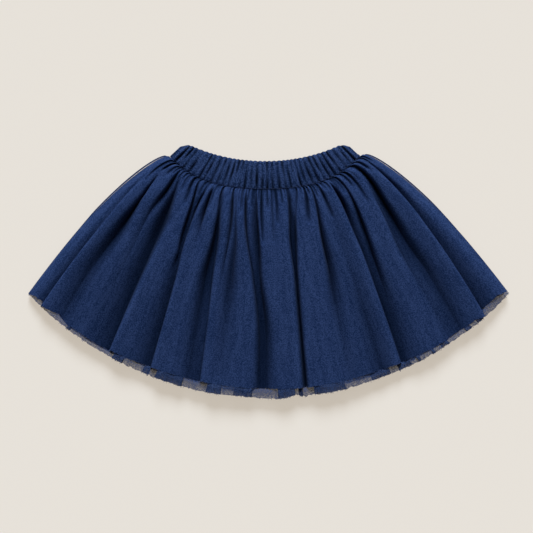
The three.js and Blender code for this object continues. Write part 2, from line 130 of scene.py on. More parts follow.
GATHERS = (
    Gather(-0.938, 0.18, 4.0), Gather(-0.902, 0.07, 4.0), Gather(-0.860, 0.08, 4.0),
    Gather(-0.840, 0.06, 3.0), Gather(-0.755, 0.07, 3.0), Gather(-0.728, 0.10, 4.0),
    Gather(-0.675, 0.15, 7.0), Gather(-0.650, 0.06, 3.0), Gather(-0.575, 0.13, 5.0),
    Gather(-0.550, 0.06, 3.0), Gather(-0.458, 0.13, 5.0), Gather(-0.430, 0.06, 3.5),
    Gather(-0.350, 0.07, 3.0), Gather(-0.325, 0.05, 2.5), Gather(-0.240, 0.08, 3.5),
    Gather(-0.215, 0.12, 5.0), Gather(-0.150, 0.06, 4.0), Gather(-0.125, 0.09, 6.0),
    Gather(-0.105, 0.05, 3.0), Gather(-0.057, 0.06, 3.0), Gather(-0.032, 0.26, 10.0),
    Gather(-0.005, 0.06, 3.0), Gather(0.022, 0.10, 5.0), Gather(0.060, 0.26, 4.0),
    Gather(0.080, 0.06, 3.0), Gather(0.100, 0.17, 8.0), Gather(0.125, 0.05, 3.0),
    Gather(0.150, 0.07, 5.0), Gather(0.183, 0.06, 4.0), Gather(0.245, 0.07, 4.0),
    Gather(0.272, 0.05, 3.0), Gather(0.330, 0.06, 3.0), Gather(0.368, 0.18, 8.0),
    Gather(0.395, 0.06, 3.0), Gather(0.450, 0.07, 4.0), Gather(0.490, 0.19, 6.0),
    Gather(0.535, 0.05, 3.0), Gather(0.565, 0.06, 3.5), Gather(0.625, 0.07, 4.0),
    Gather(0.645, 0.10, 5.0), Gather(0.668, 0.06, 3.0), Gather(0.725, 0.10, 4.5),
    Gather(0.755, 0.05, 3.0), Gather(0.760, 0.20, 5.0), Gather(0.845, 0.06, 4.0),
    Gather(0.905, 0.10, 3.0), Gather(0.972, 0.10, 3.5),
)
OUTER_HEM = (
    (-1, 1), (-0.968, 0.984), (-0.934, 0.976), (-0.928, 1.002), (-0.893, 0.985), (-0.854, 0.969),
    (-0.81, 0.982), (-0.77, 0.979), (-0.68, 0.977), (-0.613, 0.974), (-0.605, 0.970), (-0.52, 0.965),
    (-0.45, 0.961), (-0.32, 0.956), (-0.22, 0.957), (0, 0.957), (0.13, 0.962), (0.25, 0.963),
    (0.4, 0.964), (0.52, 0.970), (0.59, 0.973), (0.65, 0.977), (0.71, 0.978), (0.77, 0.978),
    (0.84, 0.985), (0.868, 1.003), (0.876, 0.965), (0.955, 0.963), (1, 0.99),
)
UNDER_HEM = (
    (-1, 1), (-0.6, 0.998), (-0.42, 1), (-0.224, 1.003), (-0.1, 0.998), (0.045, 1.006), (0.075, 1.004),
    (0.12, 0.99), (0.132, 1.003), (0.182, 1), (0.3, 1.003), (0.42, 0.998), (0.5, 1), (0.6, 1.002),
    (0.7, 0.999), (0.87, 1.002), (1, 1),
)
UNDER_BACK_HEM = (
    (-1, 0.98), (-0.95, 0.972), (-0.86, 0.972), (-0.8, 0.99), (-0.7, 0.987), (-0.61, 0.982), (-0.58, 0.97),
    (-0.33, 0.966), (-0.17, 0.966), (-0.16, 0.979), (-0.05, 0.983), (-0.04, 0.96), (0.28, 0.963),
    (0.3, 0.98), (0.4, 0.98), (0.47, 0.97), (0.5, 0.966), (0.56, 0.984), (0.68, 0.985), (0.73, 0.97),
    (0.8, 0.972), (0.88, 0.985), (0.9, 0.965), (1, 0.975),
)
TABS = (
    (-0.805, -0.79), (-0.6, -0.557), (-0.476, -0.45), (-0.424, -0.318), (-0.224, -0.168), (-0.12, -0.05),
    (0.048, 0.112), (0.126, 0.139), (0.183, 0.299), (0.4, 0.473), (0.506, 0.556), (0.583, 0.594),
    (0.643, 0.652), (0.682, 0.713), (0.79, 0.812), (0.842, 0.867),
)


def hem_line(
    table: tuple[tuple[float, float], ...], across: np.ndarray, rough: float, seed: int
) -> np.ndarray:
    """Where a raw hem runs.

    Args:
        table: How far down the hem is at places across.
        across: Where to read it, rising.
        rough: How far its cut strays up and down, as a share of the skirt's length.
        seed: Seed of that stray.

    Returns:
        How far down the hem is at each place.
    """
    places, downs = zip(*table)
    stray = np.random.default_rng(seed).normal(0, rough, len(across))
    return np.interp(across, places, downs) + stray


def along_table(stations: tuple[float, ...], values: tuple[float, ...], place: np.ndarray) -> np.ndarray:
    """Reads a smooth curve through a table's values.

    Args:
        stations: The places that the values belong to, rising.
        values: One value for each station.
        place: Where to read the curve.

    Returns:
        The curve's value at each place.
    """
    xs, ys = np.array(stations, float), np.array(values, float)
    here = np.clip(np.asarray(place, float), xs[0], xs[-1])
    k = np.clip(np.searchsorted(xs, here, side="right") - 1, 0, len(xs) - 2)
    rises = np.diff(ys) / np.diff(xs)
    into = np.where(k > 0, (rises[np.maximum(k - 1, 0)] + rises[k]) / 2, rises[k])
    out = np.where(k + 2 < len(xs), (rises[k] + rises[np.minimum(k + 1, len(rises) - 1)]) / 2, rises[k])
    width = xs[k + 1] - xs[k]
    part = (here - xs[k]) / width
    rest = 1 - part
    bow = part * rest * width * ((into - rises[k]) * rest - (out - rises[k]) * part)
    return ys[k] + (ys[k + 1] - ys[k]) * part + bow


def smooth_step(low: float, high: float, value: np.ndarray) -> np.ndarray:
    """Rises smoothly from 0 at low to 1 at high."""
    part = np.clip((value - low) / (high - low), 0, 1)
    return part * part * (3 - 2 * part)


@dataclass(frozen=True)
class Fan:
    """The fan that the cloth falls in, with its centre above the waist."""

    centre_x: float = -3.4 * MM
    centre_y: float = 227.8 * MM
    seam: float = 137.3 * MM
    seam_scallop: float = 4.5 * MM
    seam_scallop_angle: float = 42
    hem: float = 370 * MM
    hem_tilt: float = 0.062 * MM
    left: float = 46.4
    right: float = 47.3
    flare: float = 4.4
    flare_power: float = 0.45
    seam_gap: float = 0.3 * MM

    def spread(self, across: np.ndarray, down: np.ndarray) -> np.ndarray:
        """Half angle of the fan in degrees, on the side that across is on."""
        flare = self.flare * np.sin(math.pi * np.maximum(down, 0) ** self.flare_power)
        return np.where(across < 0, self.left, self.right) + flare

    def seam_radius(self, angle: np.ndarray) -> np.ndarray:
        """Radius of the waist seam at an angle in degrees."""
        turn = np.radians(angle * 180 / self.seam_scallop_angle)
        return self.seam + self.seam_scallop * (1 - np.cos(turn))

    def fall_radius(self, angle: np.ndarray, down: np.ndarray) -> np.ndarray:
        """Radius of a place that is some way down from the seam."""
        start = self.seam_radius(angle) + self.seam_gap / 2
        return start + (self.hem + self.hem_tilt * angle - start) * down

    def polar(self, angle: np.ndarray, radius: np.ndarray, height: np.ndarray) -> np.ndarray:
        """Places points in the fan.

        Args:
            angle: The angle in degrees, 0 straight down the skirt.
            radius: How far from the fan's centre.
            height: How high above the floor.

        Returns:
            The points, as an array with x, y, z last.
        """
        turn = np.radians(angle)
        x = self.centre_x + radius * np.sin(turn)
        y = self.centre_y - radius * np.cos(turn)
        return np.stack(np.broadcast_arrays(x, y, height), axis=-1)

    def point(self, across: np.ndarray, down: np.ndarray, height: np.ndarray) -> np.ndarray:
        """Points of the skirt, as an array with x, y, z last."""
        angle = across * self.spread(across, down)
        return self.polar(angle, self.fall_radius(angle, down), height)

    def unit(self, across: np.ndarray, down: np.ndarray) -> np.ndarray:
        """Metres of cloth in one unit across."""
        spread = self.spread(across, down)
        return np.radians(spread) * self.fall_radius(across * spread, down)


FAN = Fan()


@dataclass(frozen=True)
class SheetGrid:
    """A grid of places on a panel: columns that follow the creases, and rows that crowd at the seam."""

    columns: int = 400
    rows: int = 110
    least_columns: int = 6
    seam_crowding: float = 1.3
    crease_crowding: float = 0.6
    tuck: tuple[float, ...] = (-0.014, -0.004)
    hem_seed: int = 5

    def guides(self, down: np.ndarray) -> np.ndarray:
        """Places across of the side seams and the creases between them, in rising order, at places down."""
        lines = [np.full_like(down, -1), *(fold.place(down) for fold in FOLDS)]
        return np.stack([*lines, np.full_like(down, 1)])

    def places(self, hem: tuple[tuple[float, float], ...], rough: float) -> tuple[np.ndarray, np.ndarray]:
        """Lays the grid out, with a first few rows that are tucked up into the band.

        Args:
            hem: Table of the hem line.
            rough: How far the cut of the hem strays.

        Returns:
            Places across and places down.
        """
        middle = self.guides(np.array([0.5]))[:, 0]
        columns = []
        for k, width in enumerate(np.diff(middle)):
            count = max(self.least_columns, round(self.columns * width / 2))
            even = np.arange(count) / count
            crowded = (1 - np.cos(math.pi * even)) / 2
            columns.extend(k + even + self.crease_crowding * (crowded - even))
        column = np.array([*columns, len(FOLDS) + 1.0])
        k = np.minimum(column.astype(int), len(FOLDS))
        ends = self.guides(np.ones_like(column))
        pick = np.arange(len(column))
        at_hem = ends[k, pick] + (ends[k + 1, pick] - ends[k, pick]) * (column - k)
        share = np.linspace(0, 1, self.rows + 1)[:, None] ** self.seam_crowding
        skirt = share * hem_line(hem, at_hem, rough, self.hem_seed)
        tucked = np.broadcast_to(np.array(self.tuck)[:, None], (len(self.tuck), len(column)))
        down = np.concatenate([tucked, skirt])
        guides = self.guides(down)
        low = np.take_along_axis(guides, np.broadcast_to(k, down.shape)[None], 0)[0]
        high = np.take_along_axis(guides, np.broadcast_to(k + 1, down.shape)[None], 0)[0]
        return low + (high - low) * (column - k), down


@dataclass(frozen=True)
class FrontRelief:
    """The relief of the front: crests, creases and gathers, rolled down at the side seams."""

    floor: float = 6.3 * MM
    side_edge: float = 3.3 * MM
    side_roll: float = 0.07
    crisp_flank: float = 2.2 * MM
    soft_flank: float = 5 * MM
    crisp_power: float = 2
    soft_power: float = 1.3
    lip_height: float = 1.3 * MM
    lip_width: float = 6 * MM
    lean: float = 4 * MM
    lean_from: float = 3.5 * MM
    lean_full: float = 0.4
    full_depth: float = 5 * MM
    gather_width: float = 1.1 * MM
    fine_count: int = 44
    fine_width: float = 0.7 * MM
    fine_span: float = 0.985
    fine_stray: float = 0.015
    fine_reach: tuple[float, float] = (0.03, 0.1)
    fine_deep: tuple[float, float] = (1.5, 4)
    fine_seed: int = 8
    tucked_height: float = 3.7 * MM
    # How strongly the depth below the crests and in the slits darkens the painted crease shade.
    shade_gain: float = 1.5
    slit_full: float = 9 * MM
    crest_stations: tuple[float, ...] = (0, 0.02, 0.08, 0.22, 0.5, 0.75, 1)
    crests: tuple[float, ...] = (10, 15.5, 18.5, 20.5, 20.5, 18, 14.5)

    def fine_gathers(self) -> list[Gather]:
        """Makes small gathers between the others, spread unevenly all along the seam.

        Returns:
            The gathers, from the left to the right.
        """
        rng = np.random.default_rng(self.fine_seed)
        even = np.linspace(-self.fine_span, self.fine_span, self.fine_count)
        places = even + rng.uniform(-self.fine_stray, self.fine_stray, self.fine_count)
        reaches = rng.uniform(*self.fine_reach, self.fine_count)
        depths = rng.uniform(*self.fine_deep, self.fine_count)
        return [Gather(*each) for each in zip(places, reaches, depths)]

    def shape(
        self, across: np.ndarray, down: np.ndarray, at_seam: np.ndarray
    ) -> tuple[np.ndarray, np.ndarray, np.ndarray]:
        """Works out the relief.

        Args:
            across: Places across.
            down: Places down.
            at_seam: Where each column is across at the waist seam.

        Returns:
            The height of each place, how far it leans across over a crease, and the share of shade painted
            there, from how deep it lies in a crease or gather, from 0 to 1.
        """
        unit = FAN.unit(across, down)
        drop = np.zeros_like(across)
        lean = np.zeros_like(across)
        for fold in FOLDS:
            off = (across - fold.place(down)) * unit
            deep = fold.depth(down)
            width = fold.width(off, down)
            crisp = np.clip((self.soft_flank - width) / (self.soft_flank - self.crisp_flank), 0, 1)
            power = self.soft_power + (self.crisp_power - self.soft_power) * crisp
            drop += deep * np.exp(-((np.abs(off) / width) ** power))
            strength = np.minimum(1, deep / self.full_depth) * crisp
            lip = np.exp(-(((np.abs(off) - self.lip_width) / self.lip_width) ** 2))
            drop -= self.lip_height * strength * lip
            part = np.abs(off) / self.lean_from
            over = self.lean * np.minimum(1, down / self.lean_full) * strength
            lean -= np.sign(off) * over * part * np.exp(1 - part)
        seam_unit = FAN.unit(at_seam, np.zeros_like(at_seam))
        slits = np.zeros_like(across)
        widths = [self.gather_width] * len(GATHERS) + [self.fine_width] * self.fine_count
        for gather, width in zip([*GATHERS, *self.fine_gathers()], widths):
            fade = np.sqrt(np.clip(1 - down / gather.reach, 0, 1))
            off = (at_seam - gather.at) * seam_unit
            slit = gather.deep * MM * fade * np.exp(-((off / width) ** 2))
            drop += slit
            slits += slit
        room = along_table(self.crest_stations, self.crests, down) * MM - self.floor
        full = self.floor + room * (1 - np.tanh(drop / room))
        # Painted shade share, from how deep the place lies below the crests and in the slits.
        depth = np.tanh(self.shade_gain * (drop / room + slits / self.slit_full))
        roll = np.clip((np.abs(across) - (1 - self.side_roll)) / self.side_roll, 0, 1)
        height = self.side_edge + (full - self.side_edge) * np.sqrt(1 - roll * roll)
        height = np.where(down < 0, np.minimum(height, self.tucked_height), height)
        return height, lean * np.sqrt(1 - roll), np.maximum(0, depth) * np.sqrt(1 - roll)


def mesh_object(
    name: str, points: np.ndarray, faces: list, uv: np.ndarray | None = None
) -> bpy.types.Object:
    """Makes a smooth mesh object at the origin.

    Args:
        name: The piece's name.
        points: Its points, one row each.
        faces: Its faces, as lists of point numbers.
        uv: A place on the cloth for each point, if the piece has a UV map.

    Returns:
        The new object, linked to the scene.
    """
    mesh = bpy.data.meshes.new(name)
    mesh.from_pydata(points.tolist(), [], faces)
    mesh.update()
    if uv is not None:
        layer = mesh.uv_layers.new(name="cloth")
        corner = np.empty(len(mesh.loops), int)
        mesh.loops.foreach_get("vertex_index", corner)
        layer.data.foreach_set("uv", uv[corner].ravel())
    mesh.polygons.foreach_set("use_smooth", np.ones(len(mesh.polygons), bool))
    piece = bpy.data.objects.new(name, mesh)
    bpy.context.scene.collection.objects.link(piece)
    return piece


def grid_faces(rows: int, columns: int) -> list:
    """Quads, facing up, of a grid of points whose rows run down and whose columns run right.

    Args:
        rows: Number of rows of points.
        columns: Number of points in a row.

    Returns:
        The quads, as lists of point numbers.
    """
    k = (np.arange(rows - 1)[:, None] * columns + np.arange(columns - 1)).ravel()
    return np.stack([k, k + columns, k + columns + 1, k + 1], axis=-1).tolist()


def store(piece: bpy.types.Object, name: str, values: np.ndarray, kind: str = "FLOAT") -> None:
    """Stores a value at each point of a piece.

    Args:
        piece: The piece.
        name: The attribute's name.
        values: Its values, in the order of the points.
        kind: Blender's word for the kind of value.
    """
    layer = piece.data.attributes.new(name, kind, "POINT")
    layer.data.foreach_set("value" if kind == "FLOAT" else "vector", values.astype(np.float32).ravel())


def finish_sheet(piece: bpy.types.Object, wall: float, material: bpy.types.Material) -> None:
    """Gives a sheet its material, and its thickness on the side away from its faces, with crisp rims.

    Args:
        piece: The sheet.
        wall: Its thickness.
        material: Its material.
    """
    mesh = piece.data
    edge_of = np.empty(len(mesh.loops), int)
    mesh.loops.foreach_get("edge_index", edge_of)
    uses = np.bincount(edge_of, minlength=len(mesh.edges))
    mesh.edges.foreach_set("use_edge_sharp", uses == 1)
    modifier = piece.modifiers.new("wall", "SOLIDIFY")
    modifier.thickness = wall
    modifier.offset = -1
    mesh.materials.append(material)


class NodeTree:
    """Short words for adding nodes to a tree and joining them."""

    def __init__(self, tree: bpy.types.NodeTree) -> None:
        """Keeps the tree."""
        self.tree = tree

    def node(self, kind: str, **settings: object) -> bpy.types.Node:
        """Adds a node.

        Args:
            kind: The node's type name.
            settings: Properties to set on it, and inputs by name with spaces as underscores.

        Returns:
            The new node.
        """
        node = self.tree.nodes.new(kind)
        for name, value in settings.items():
            if hasattr(node, name):
                setattr(node, name, value)
            else:
                self.feed(node, name.replace("_", " "), value)
        return node

    def join(self, socket: bpy.types.NodeSocket, value: object) -> None:
        """Sets an input socket, or links an output of another node to it.

        Args:
            socket: The input socket.
            value: Its value, or the output socket to link.
        """
        if isinstance(value, bpy.types.NodeSocket):
            self.tree.links.new(value, socket)
        else:
            socket.default_value = value

    def feed(self, node: bpy.types.Node, name: str | int, value: object) -> None:
        """Sets or links an input of a node, by its name or number."""
        self.join(node.inputs[name], value)

    def math(self, operation: str, *values: object) -> bpy.types.NodeSocket:
        """Adds a Math node.

        Args:
            operation: Blender's word for what it does.
            values: One, two or three values or sockets.

        Returns:
            Its output.
        """
        node = self.node("ShaderNodeMath", operation=operation)
        for k, value in enumerate(values):
            self.feed(node, k, value)
        return node.outputs[0]

    def plus(self, first: object, second: object) -> bpy.types.NodeSocket:
        """Adds a sum and returns it."""
        return self.math("ADD", first, second)

    def less(self, first: object, second: object) -> bpy.types.NodeSocket:
        """Adds a difference and returns it."""
        return self.math("SUBTRACT", first, second)

    def times(self, first: object, second: object) -> bpy.types.NodeSocket:
        """Adds a product and returns it."""
        return self.math("MULTIPLY", first, second)

    def blend(self, share: object, first: object, second: object) -> bpy.types.NodeSocket:
        """Adds a blend of two values by a share and returns it."""
        return self.plus(first, self.times(share, self.less(second, first)))

    def vector(self, **parts: object) -> bpy.types.NodeSocket:
        """Adds a vector with the given X, Y and Z and returns it."""
        return self.node("ShaderNodeCombineXYZ", **parts).outputs[0]

    def vector_math(self, operation: str, *values: object) -> bpy.types.NodeSocket:
        """Adds a Vector Math node.

        Args:
            operation: Blender's word for what it does.
            values: Its vectors, or a vector and a scale.

        Returns:
            The vector that it makes.
        """
        node = self.node("ShaderNodeVectorMath", operation=operation)
        for k, value in enumerate(values):
            self.feed(node, "Scale" if operation == "SCALE" and k == 1 else k, value)
        return node.outputs[0]

    def mix(self, factor: object, first: object, second: object) -> bpy.types.NodeSocket:
        """Adds a colour mix.

        Args:
            factor: Share of the second colour.
            first: The first colour.
            second: The second colour.

        Returns:
            The mixed colour.
        """
        node = self.node("ShaderNodeMix", data_type="RGBA")
        for name, value in (("Factor_Float", factor), ("A_Color", first), ("B_Color", second)):
            self.join(next(s for s in node.inputs if s.identifier == name), value)
        return next(s for s in node.outputs if s.identifier == "Result_Color")

    def ramp(self, value: object, low: object, high: object) -> bpy.types.NodeSocket:
        """Adds a smooth map of a value to 0..1.

        Args:
            value: The value.
            low: Where the map is 0.
            high: Where the map is 1.

        Returns:
            The mapped value.
        """
        node = self.node("ShaderNodeMapRange", interpolation_type="SMOOTHSTEP", Value=value)
        self.feed(node, "From Min", low)
        self.feed(node, "From Max", high)
        return node.outputs[0]


SOCKET_KINDS = {float: "NodeSocketFloat", int: "NodeSocketInt"}


def new_group(name: str, kind: str, inputs: dict[str, object], outputs: dict[str, str]) -> tuple:
    """Starts a node group.

    Args:
        name: The group's name.
        kind: Blender's word for the kind of tree.
        inputs: For each named input its default value, or its socket type where it has none.
        outputs: The socket type of each named output.

    Returns:
        The group, its NodeTree helper, its input node and its output node.
    """
    group = bpy.data.node_groups.new(name, kind)
    for label, value in inputs.items():
        bare = isinstance(value, str)
        socket_kind = value if bare else SOCKET_KINDS[type(value)]
        socket = group.interface.new_socket(label, in_out="INPUT", socket_type=socket_kind)
        if not bare:
            socket.default_value = value
    for label, socket_kind in outputs.items():
        group.interface.new_socket(label, in_out="OUTPUT", socket_type=socket_kind)
    tree = NodeTree(group)
    return group, tree, tree.node("NodeGroupInput"), tree.node("NodeGroupOutput")


def geometry_group(name: str, inputs: dict[str, object]) -> tuple:
    """Starts a geometry node group that takes a geometry and a material; returns what new_group does."""
    ends = {"Geometry": "NodeSocketGeometry"}
    return new_group(name, "GeometryNodeTree", ends | inputs | {"Material": "NodeSocketMaterial"}, ends)


def finish_group(tree: NodeTree, given: bpy.types.Node, made: bpy.types.Node, geometry: object) -> None:
    """Ends a geometry node group: real geometry with the material on it.

    Args:
        tree: The group's NodeTree helper.
        given: Its input node.
        made: Its output node.
        geometry: The geometry that it makes.
    """
    real = tree.node("GeometryNodeRealizeInstances", Geometry=geometry)
    coated = tree.node("GeometryNodeSetMaterial", Geometry=real.outputs[0])
    tree.feed(coated, "Material", given.outputs["Material"])
    tree.feed(made, "Geometry", coated.outputs[0])


def named_value(tree: NodeTree, name: str, kind: str = "FLOAT") -> bpy.types.NodeSocket:
    """Reads an attribute of the points."""
    return tree.node("GeometryNodeInputNamedAttribute", data_type=kind, Name=name).outputs["Attribute"]


def bake_nodes(piece: bpy.types.Object, group: bpy.types.NodeTree, values: dict[str, object]) -> None:
    """Runs a geometry node group on a piece and keeps the result as its mesh.

    Args:
        piece: The piece.
        group: The group.
        values: A value for each of the group's named inputs.
    """
    modifier = piece.modifiers.new(group.name, "NODES")
    modifier.node_group = group
    for item in group.interface.items_tree:
        if item.in_out == "INPUT" and item.name in values:
            modifier[item.identifier] = values[item.name]
    graph = bpy.context.evaluated_depsgraph_get()
    made = piece.evaluated_get(graph)
    mesh = bpy.data.meshes.new_from_object(made, preserve_all_data_layers=True, depsgraph=graph)
    piece.modifiers.remove(modifier)
    plain = piece.data
    piece.data = mesh
    bpy.data.meshes.remove(plain)
    mesh.name = piece.name


@dataclass(frozen=True)
class RibShape:
    """How uneven the ribs of a gathered casing are, along it and up it."""

    warp_scale: float = 9.0
    warp_climb: float = 0.03
    roundness: float = 0.85
    chance_step: float = 7.31
    chance_climb: float = 1.4
    depth_gain: float = 2.2
    depth_cut: float = 0.4
    least_depth: float = 0.15
    top_power: float = 6.0
    top_ease: float = 0.3

    def group(self) -> bpy.types.NodeTree:
        """Builds the ribs: rounded, uneven in width and depth, and proud at the top edge.

        Returns:
            The group.
        """
        group, tree, given, made = geometry_group(
            "casing ribs",
            {"Ribs": 35.0, "Rise": 2.0 * MM, "Scallop": 0.9 * MM, "Unevenness": 0.9, "Seed": 4.0},
        )
        seed = given.outputs["Seed"]
        place = named_value(tree, "rib_place")
        up = named_value(tree, "rib_up")
        warp = tree.node("ShaderNodeTexNoise", noise_dimensions="2D", Scale=self.warp_scale, Detail=1.0)
        tree.feed(warp, "Vector", tree.vector(X=place, Y=tree.plus(seed, tree.times(up, self.warp_climb))))
        shift = tree.times(tree.less(warp.outputs[0], 0.5), given.outputs["Unevenness"])
        phase = tree.plus(tree.times(place, given.outputs["Ribs"]), shift)
        wave = tree.math("ABSOLUTE", tree.math("SINE", tree.times(phase, math.pi)))
        crown = tree.math("POWER", wave, self.roundness)
        chance = tree.node("ShaderNodeTexNoise", noise_dimensions="2D", Scale=1.0, Detail=0.0)
        rib = tree.times(tree.math("ROUND", phase), self.chance_step)
        tree.feed(chance, "Vector", tree.vector(X=rib, Y=tree.plus(seed, tree.times(up, self.chance_climb))))
        depth = tree.less(tree.times(chance.outputs[0], self.depth_gain), self.depth_cut)
        groove = tree.times(tree.less(1.0, crown), tree.math("MAXIMUM", self.least_depth, depth))
        fade = tree.less(1.0, tree.times(tree.math("POWER", up, self.top_power), self.top_ease))
        deep = tree.times(groove, tree.times(named_value(tree, "rib_weight"), fade))
        sunk = tree.times(tree.times(deep, given.outputs["Rise"]), -1.0)
        proud = tree.times(tree.times(crown, up), given.outputs["Scallop"])
        push = tree.vector_math("SCALE", named_value(tree, "rib_push", "FLOAT_VECTOR"), proud)
        moved = tree.node("GeometryNodeSetPosition", Geometry=given.outputs["Geometry"])
        tree.feed(moved, "Offset", tree.vector_math("ADD", tree.vector(Z=sunk), push))
        # Stores each groove's depth, which the casing's material paints as shade.
        stored = tree.node("GeometryNodeStoreNamedAttribute", data_type="FLOAT", domain="POINT")
        for name, value in (("Geometry", moved.outputs[0]), ("Name", "groove"), ("Value", deep)):
            tree.feed(stored, name, value)
        finish_group(tree, given, made, stored.outputs[0])
        return group


STRAY = (1, 1, 0.3)
LENGTH_SEED_STEP = 7.0


def thread_group() -> bpy.types.NodeTree:
    """Builds loose threads: one at each point, along its aim and a chance way off it.

    Returns:
        The group.
    """
    group, tree, given, made = geometry_group(
        "loose threads",
        {"Radius": 0.1 * MM, "Length": 3.0 * MM, "Shortest": 0.3, "Spread": 0.4, "Seed": 1},
    )
    seed, radius = given.outputs["Seed"], given.outputs["Radius"]
    stray = tree.node("FunctionNodeRandomValue", data_type="FLOAT_VECTOR", Seed=seed)
    tree.feed(stray, 0, tuple(-part for part in STRAY))
    tree.feed(stray, 1, STRAY)
    off = tree.vector_math("SCALE", stray.outputs[0], given.outputs["Spread"])
    way = tree.vector_math("ADD", named_value(tree, "aim", "FLOAT_VECTOR"), off)
    turned = tree.node("FunctionNodeAlignRotationToVector", axis="Z", Vector=way)
    part = tree.node("FunctionNodeRandomValue", data_type="FLOAT", Seed=tree.plus(seed, LENGTH_SEED_STEP))
    tree.feed(part, 2, given.outputs["Shortest"])
    tree.feed(part, 3, 1.0)
    length = tree.times(part.outputs[1], given.outputs["Length"])
    thread = tree.node("GeometryNodeMeshCylinder", Vertices=3, Radius=1.0, Depth=1.0)
    raised = tree.node("GeometryNodeTransform", Geometry=thread.outputs[0], Translation=(0, 0, 0.5))
    strewn = tree.node(
        "GeometryNodeInstanceOnPoints", Points=given.outputs["Geometry"], Instance=raised.outputs[0],
        Rotation=turned.outputs[0], Scale=tree.vector(X=radius, Y=radius, Z=length),
    )
    finish_group(tree, given, made, strewn.outputs[0])
    return group


def strew_threads(
    name: str, points: np.ndarray, aims: np.ndarray, group: bpy.types.NodeTree, values: dict[str, object]
) -> bpy.types.Object:
    """Makes a piece of loose threads.

    Args:
        name: The piece's name.
        points: Where the threads start, one row each.
        aims: Which way each one runs.
        group: The thread group.
        values: Values for the group's inputs.

    Returns:
        The piece.
    """
    piece = mesh_object(name, points, [])
    store(piece, "aim", aims, "FLOAT_VECTOR")
    bake_nodes(piece, group, values)
    return piece


STREAK_STRETCH = (1.0, 0.14, 1.0)
SHADE_RANGE = (0.4, 0.6)


def crepe_grain_group() -> bpy.types.NodeTree:
    """Builds the grain that all the cloth shares: mottled net blotches with streaks along the fall.

    Returns:
        The group.
    """
    group, tree, given, made = new_group(
        "crepe grain",
        "ShaderNodeTree",
        {
            "Cloth Place": "NodeSocketVector", "Place": "NodeSocketVector", "Blotch Scale": 860.0,
            "Streak Scale": 420.0, "Streak Share": 0.2, "Broad Scale": 150.0, "Broad Share": 0.2,
        },
        {"Shade": "NodeSocketFloat", "Height": "NodeSocketFloat"},
    )
    blotch = tree.node("ShaderNodeTexNoise", Vector=given.outputs["Place"], Detail=1.0, Roughness=0.6)
    tree.feed(blotch, "Scale", given.outputs["Blotch Scale"])
    drawn = tree.vector_math("MULTIPLY", given.outputs["Cloth Place"], STREAK_STRETCH)
    streak = tree.node("ShaderNodeTexNoise", Vector=drawn, Detail=4.0, Roughness=0.55)
    tree.feed(streak, "Scale", given.outputs["Streak Scale"])
    broad = tree.node("ShaderNodeTexNoise", Vector=drawn, Scale=given.outputs["Broad Scale"], Detail=2.0)
    fine = tree.blend(given.outputs["Streak Share"], blotch.outputs[0], streak.outputs[0])
    shade = tree.blend(given.outputs["Broad Share"], fine, broad.outputs[0])
    tree.feed(made, "Shade", tree.ramp(shade, *SHADE_RANGE))
    tree.feed(made, "Height", fine)
    return group


def net_group() -> bpy.types.NodeTree:
    """Builds the net of a tulle: the share of each spot that its threads cover.

    Returns:
        The group.
    """
    group, tree, given, made = new_group(
        "net",
        "ShaderNodeTree",
        {
            "Cloth Place": "NodeSocketVector", "Cells": 1000.0, "Thread": 0.12, "Softness": 0.6,
            "Unevenness": 0.35,
        },
        {"Cover": "NodeSocketFloat"},
    )
    cells = tree.node("ShaderNodeTexVoronoi", feature="DISTANCE_TO_EDGE", Scale=given.outputs["Cells"])
    tree.feed(cells, "Vector", given.outputs["Cloth Place"])
    tree.feed(cells, "Randomness", given.outputs["Unevenness"])
    edge = tree.less(1.0, tree.math("DIVIDE", cells.outputs["Distance"], given.outputs["Thread"]))
    tree.feed(made, "Cover", tree.ramp(edge, 0.0, given.outputs["Softness"]))
    return group


def new_material(name: str) -> tuple[bpy.types.Material, NodeTree, bpy.types.Node]:
    """Starts a material.

    Args:
        name: The material's name.

    Returns:
        The material, its NodeTree helper and its shader.
    """
    material = bpy.data.materials.new(name)
    material.use_nodes = True
    return material, NodeTree(material.node_tree), material.node_tree.nodes["Principled BSDF"]


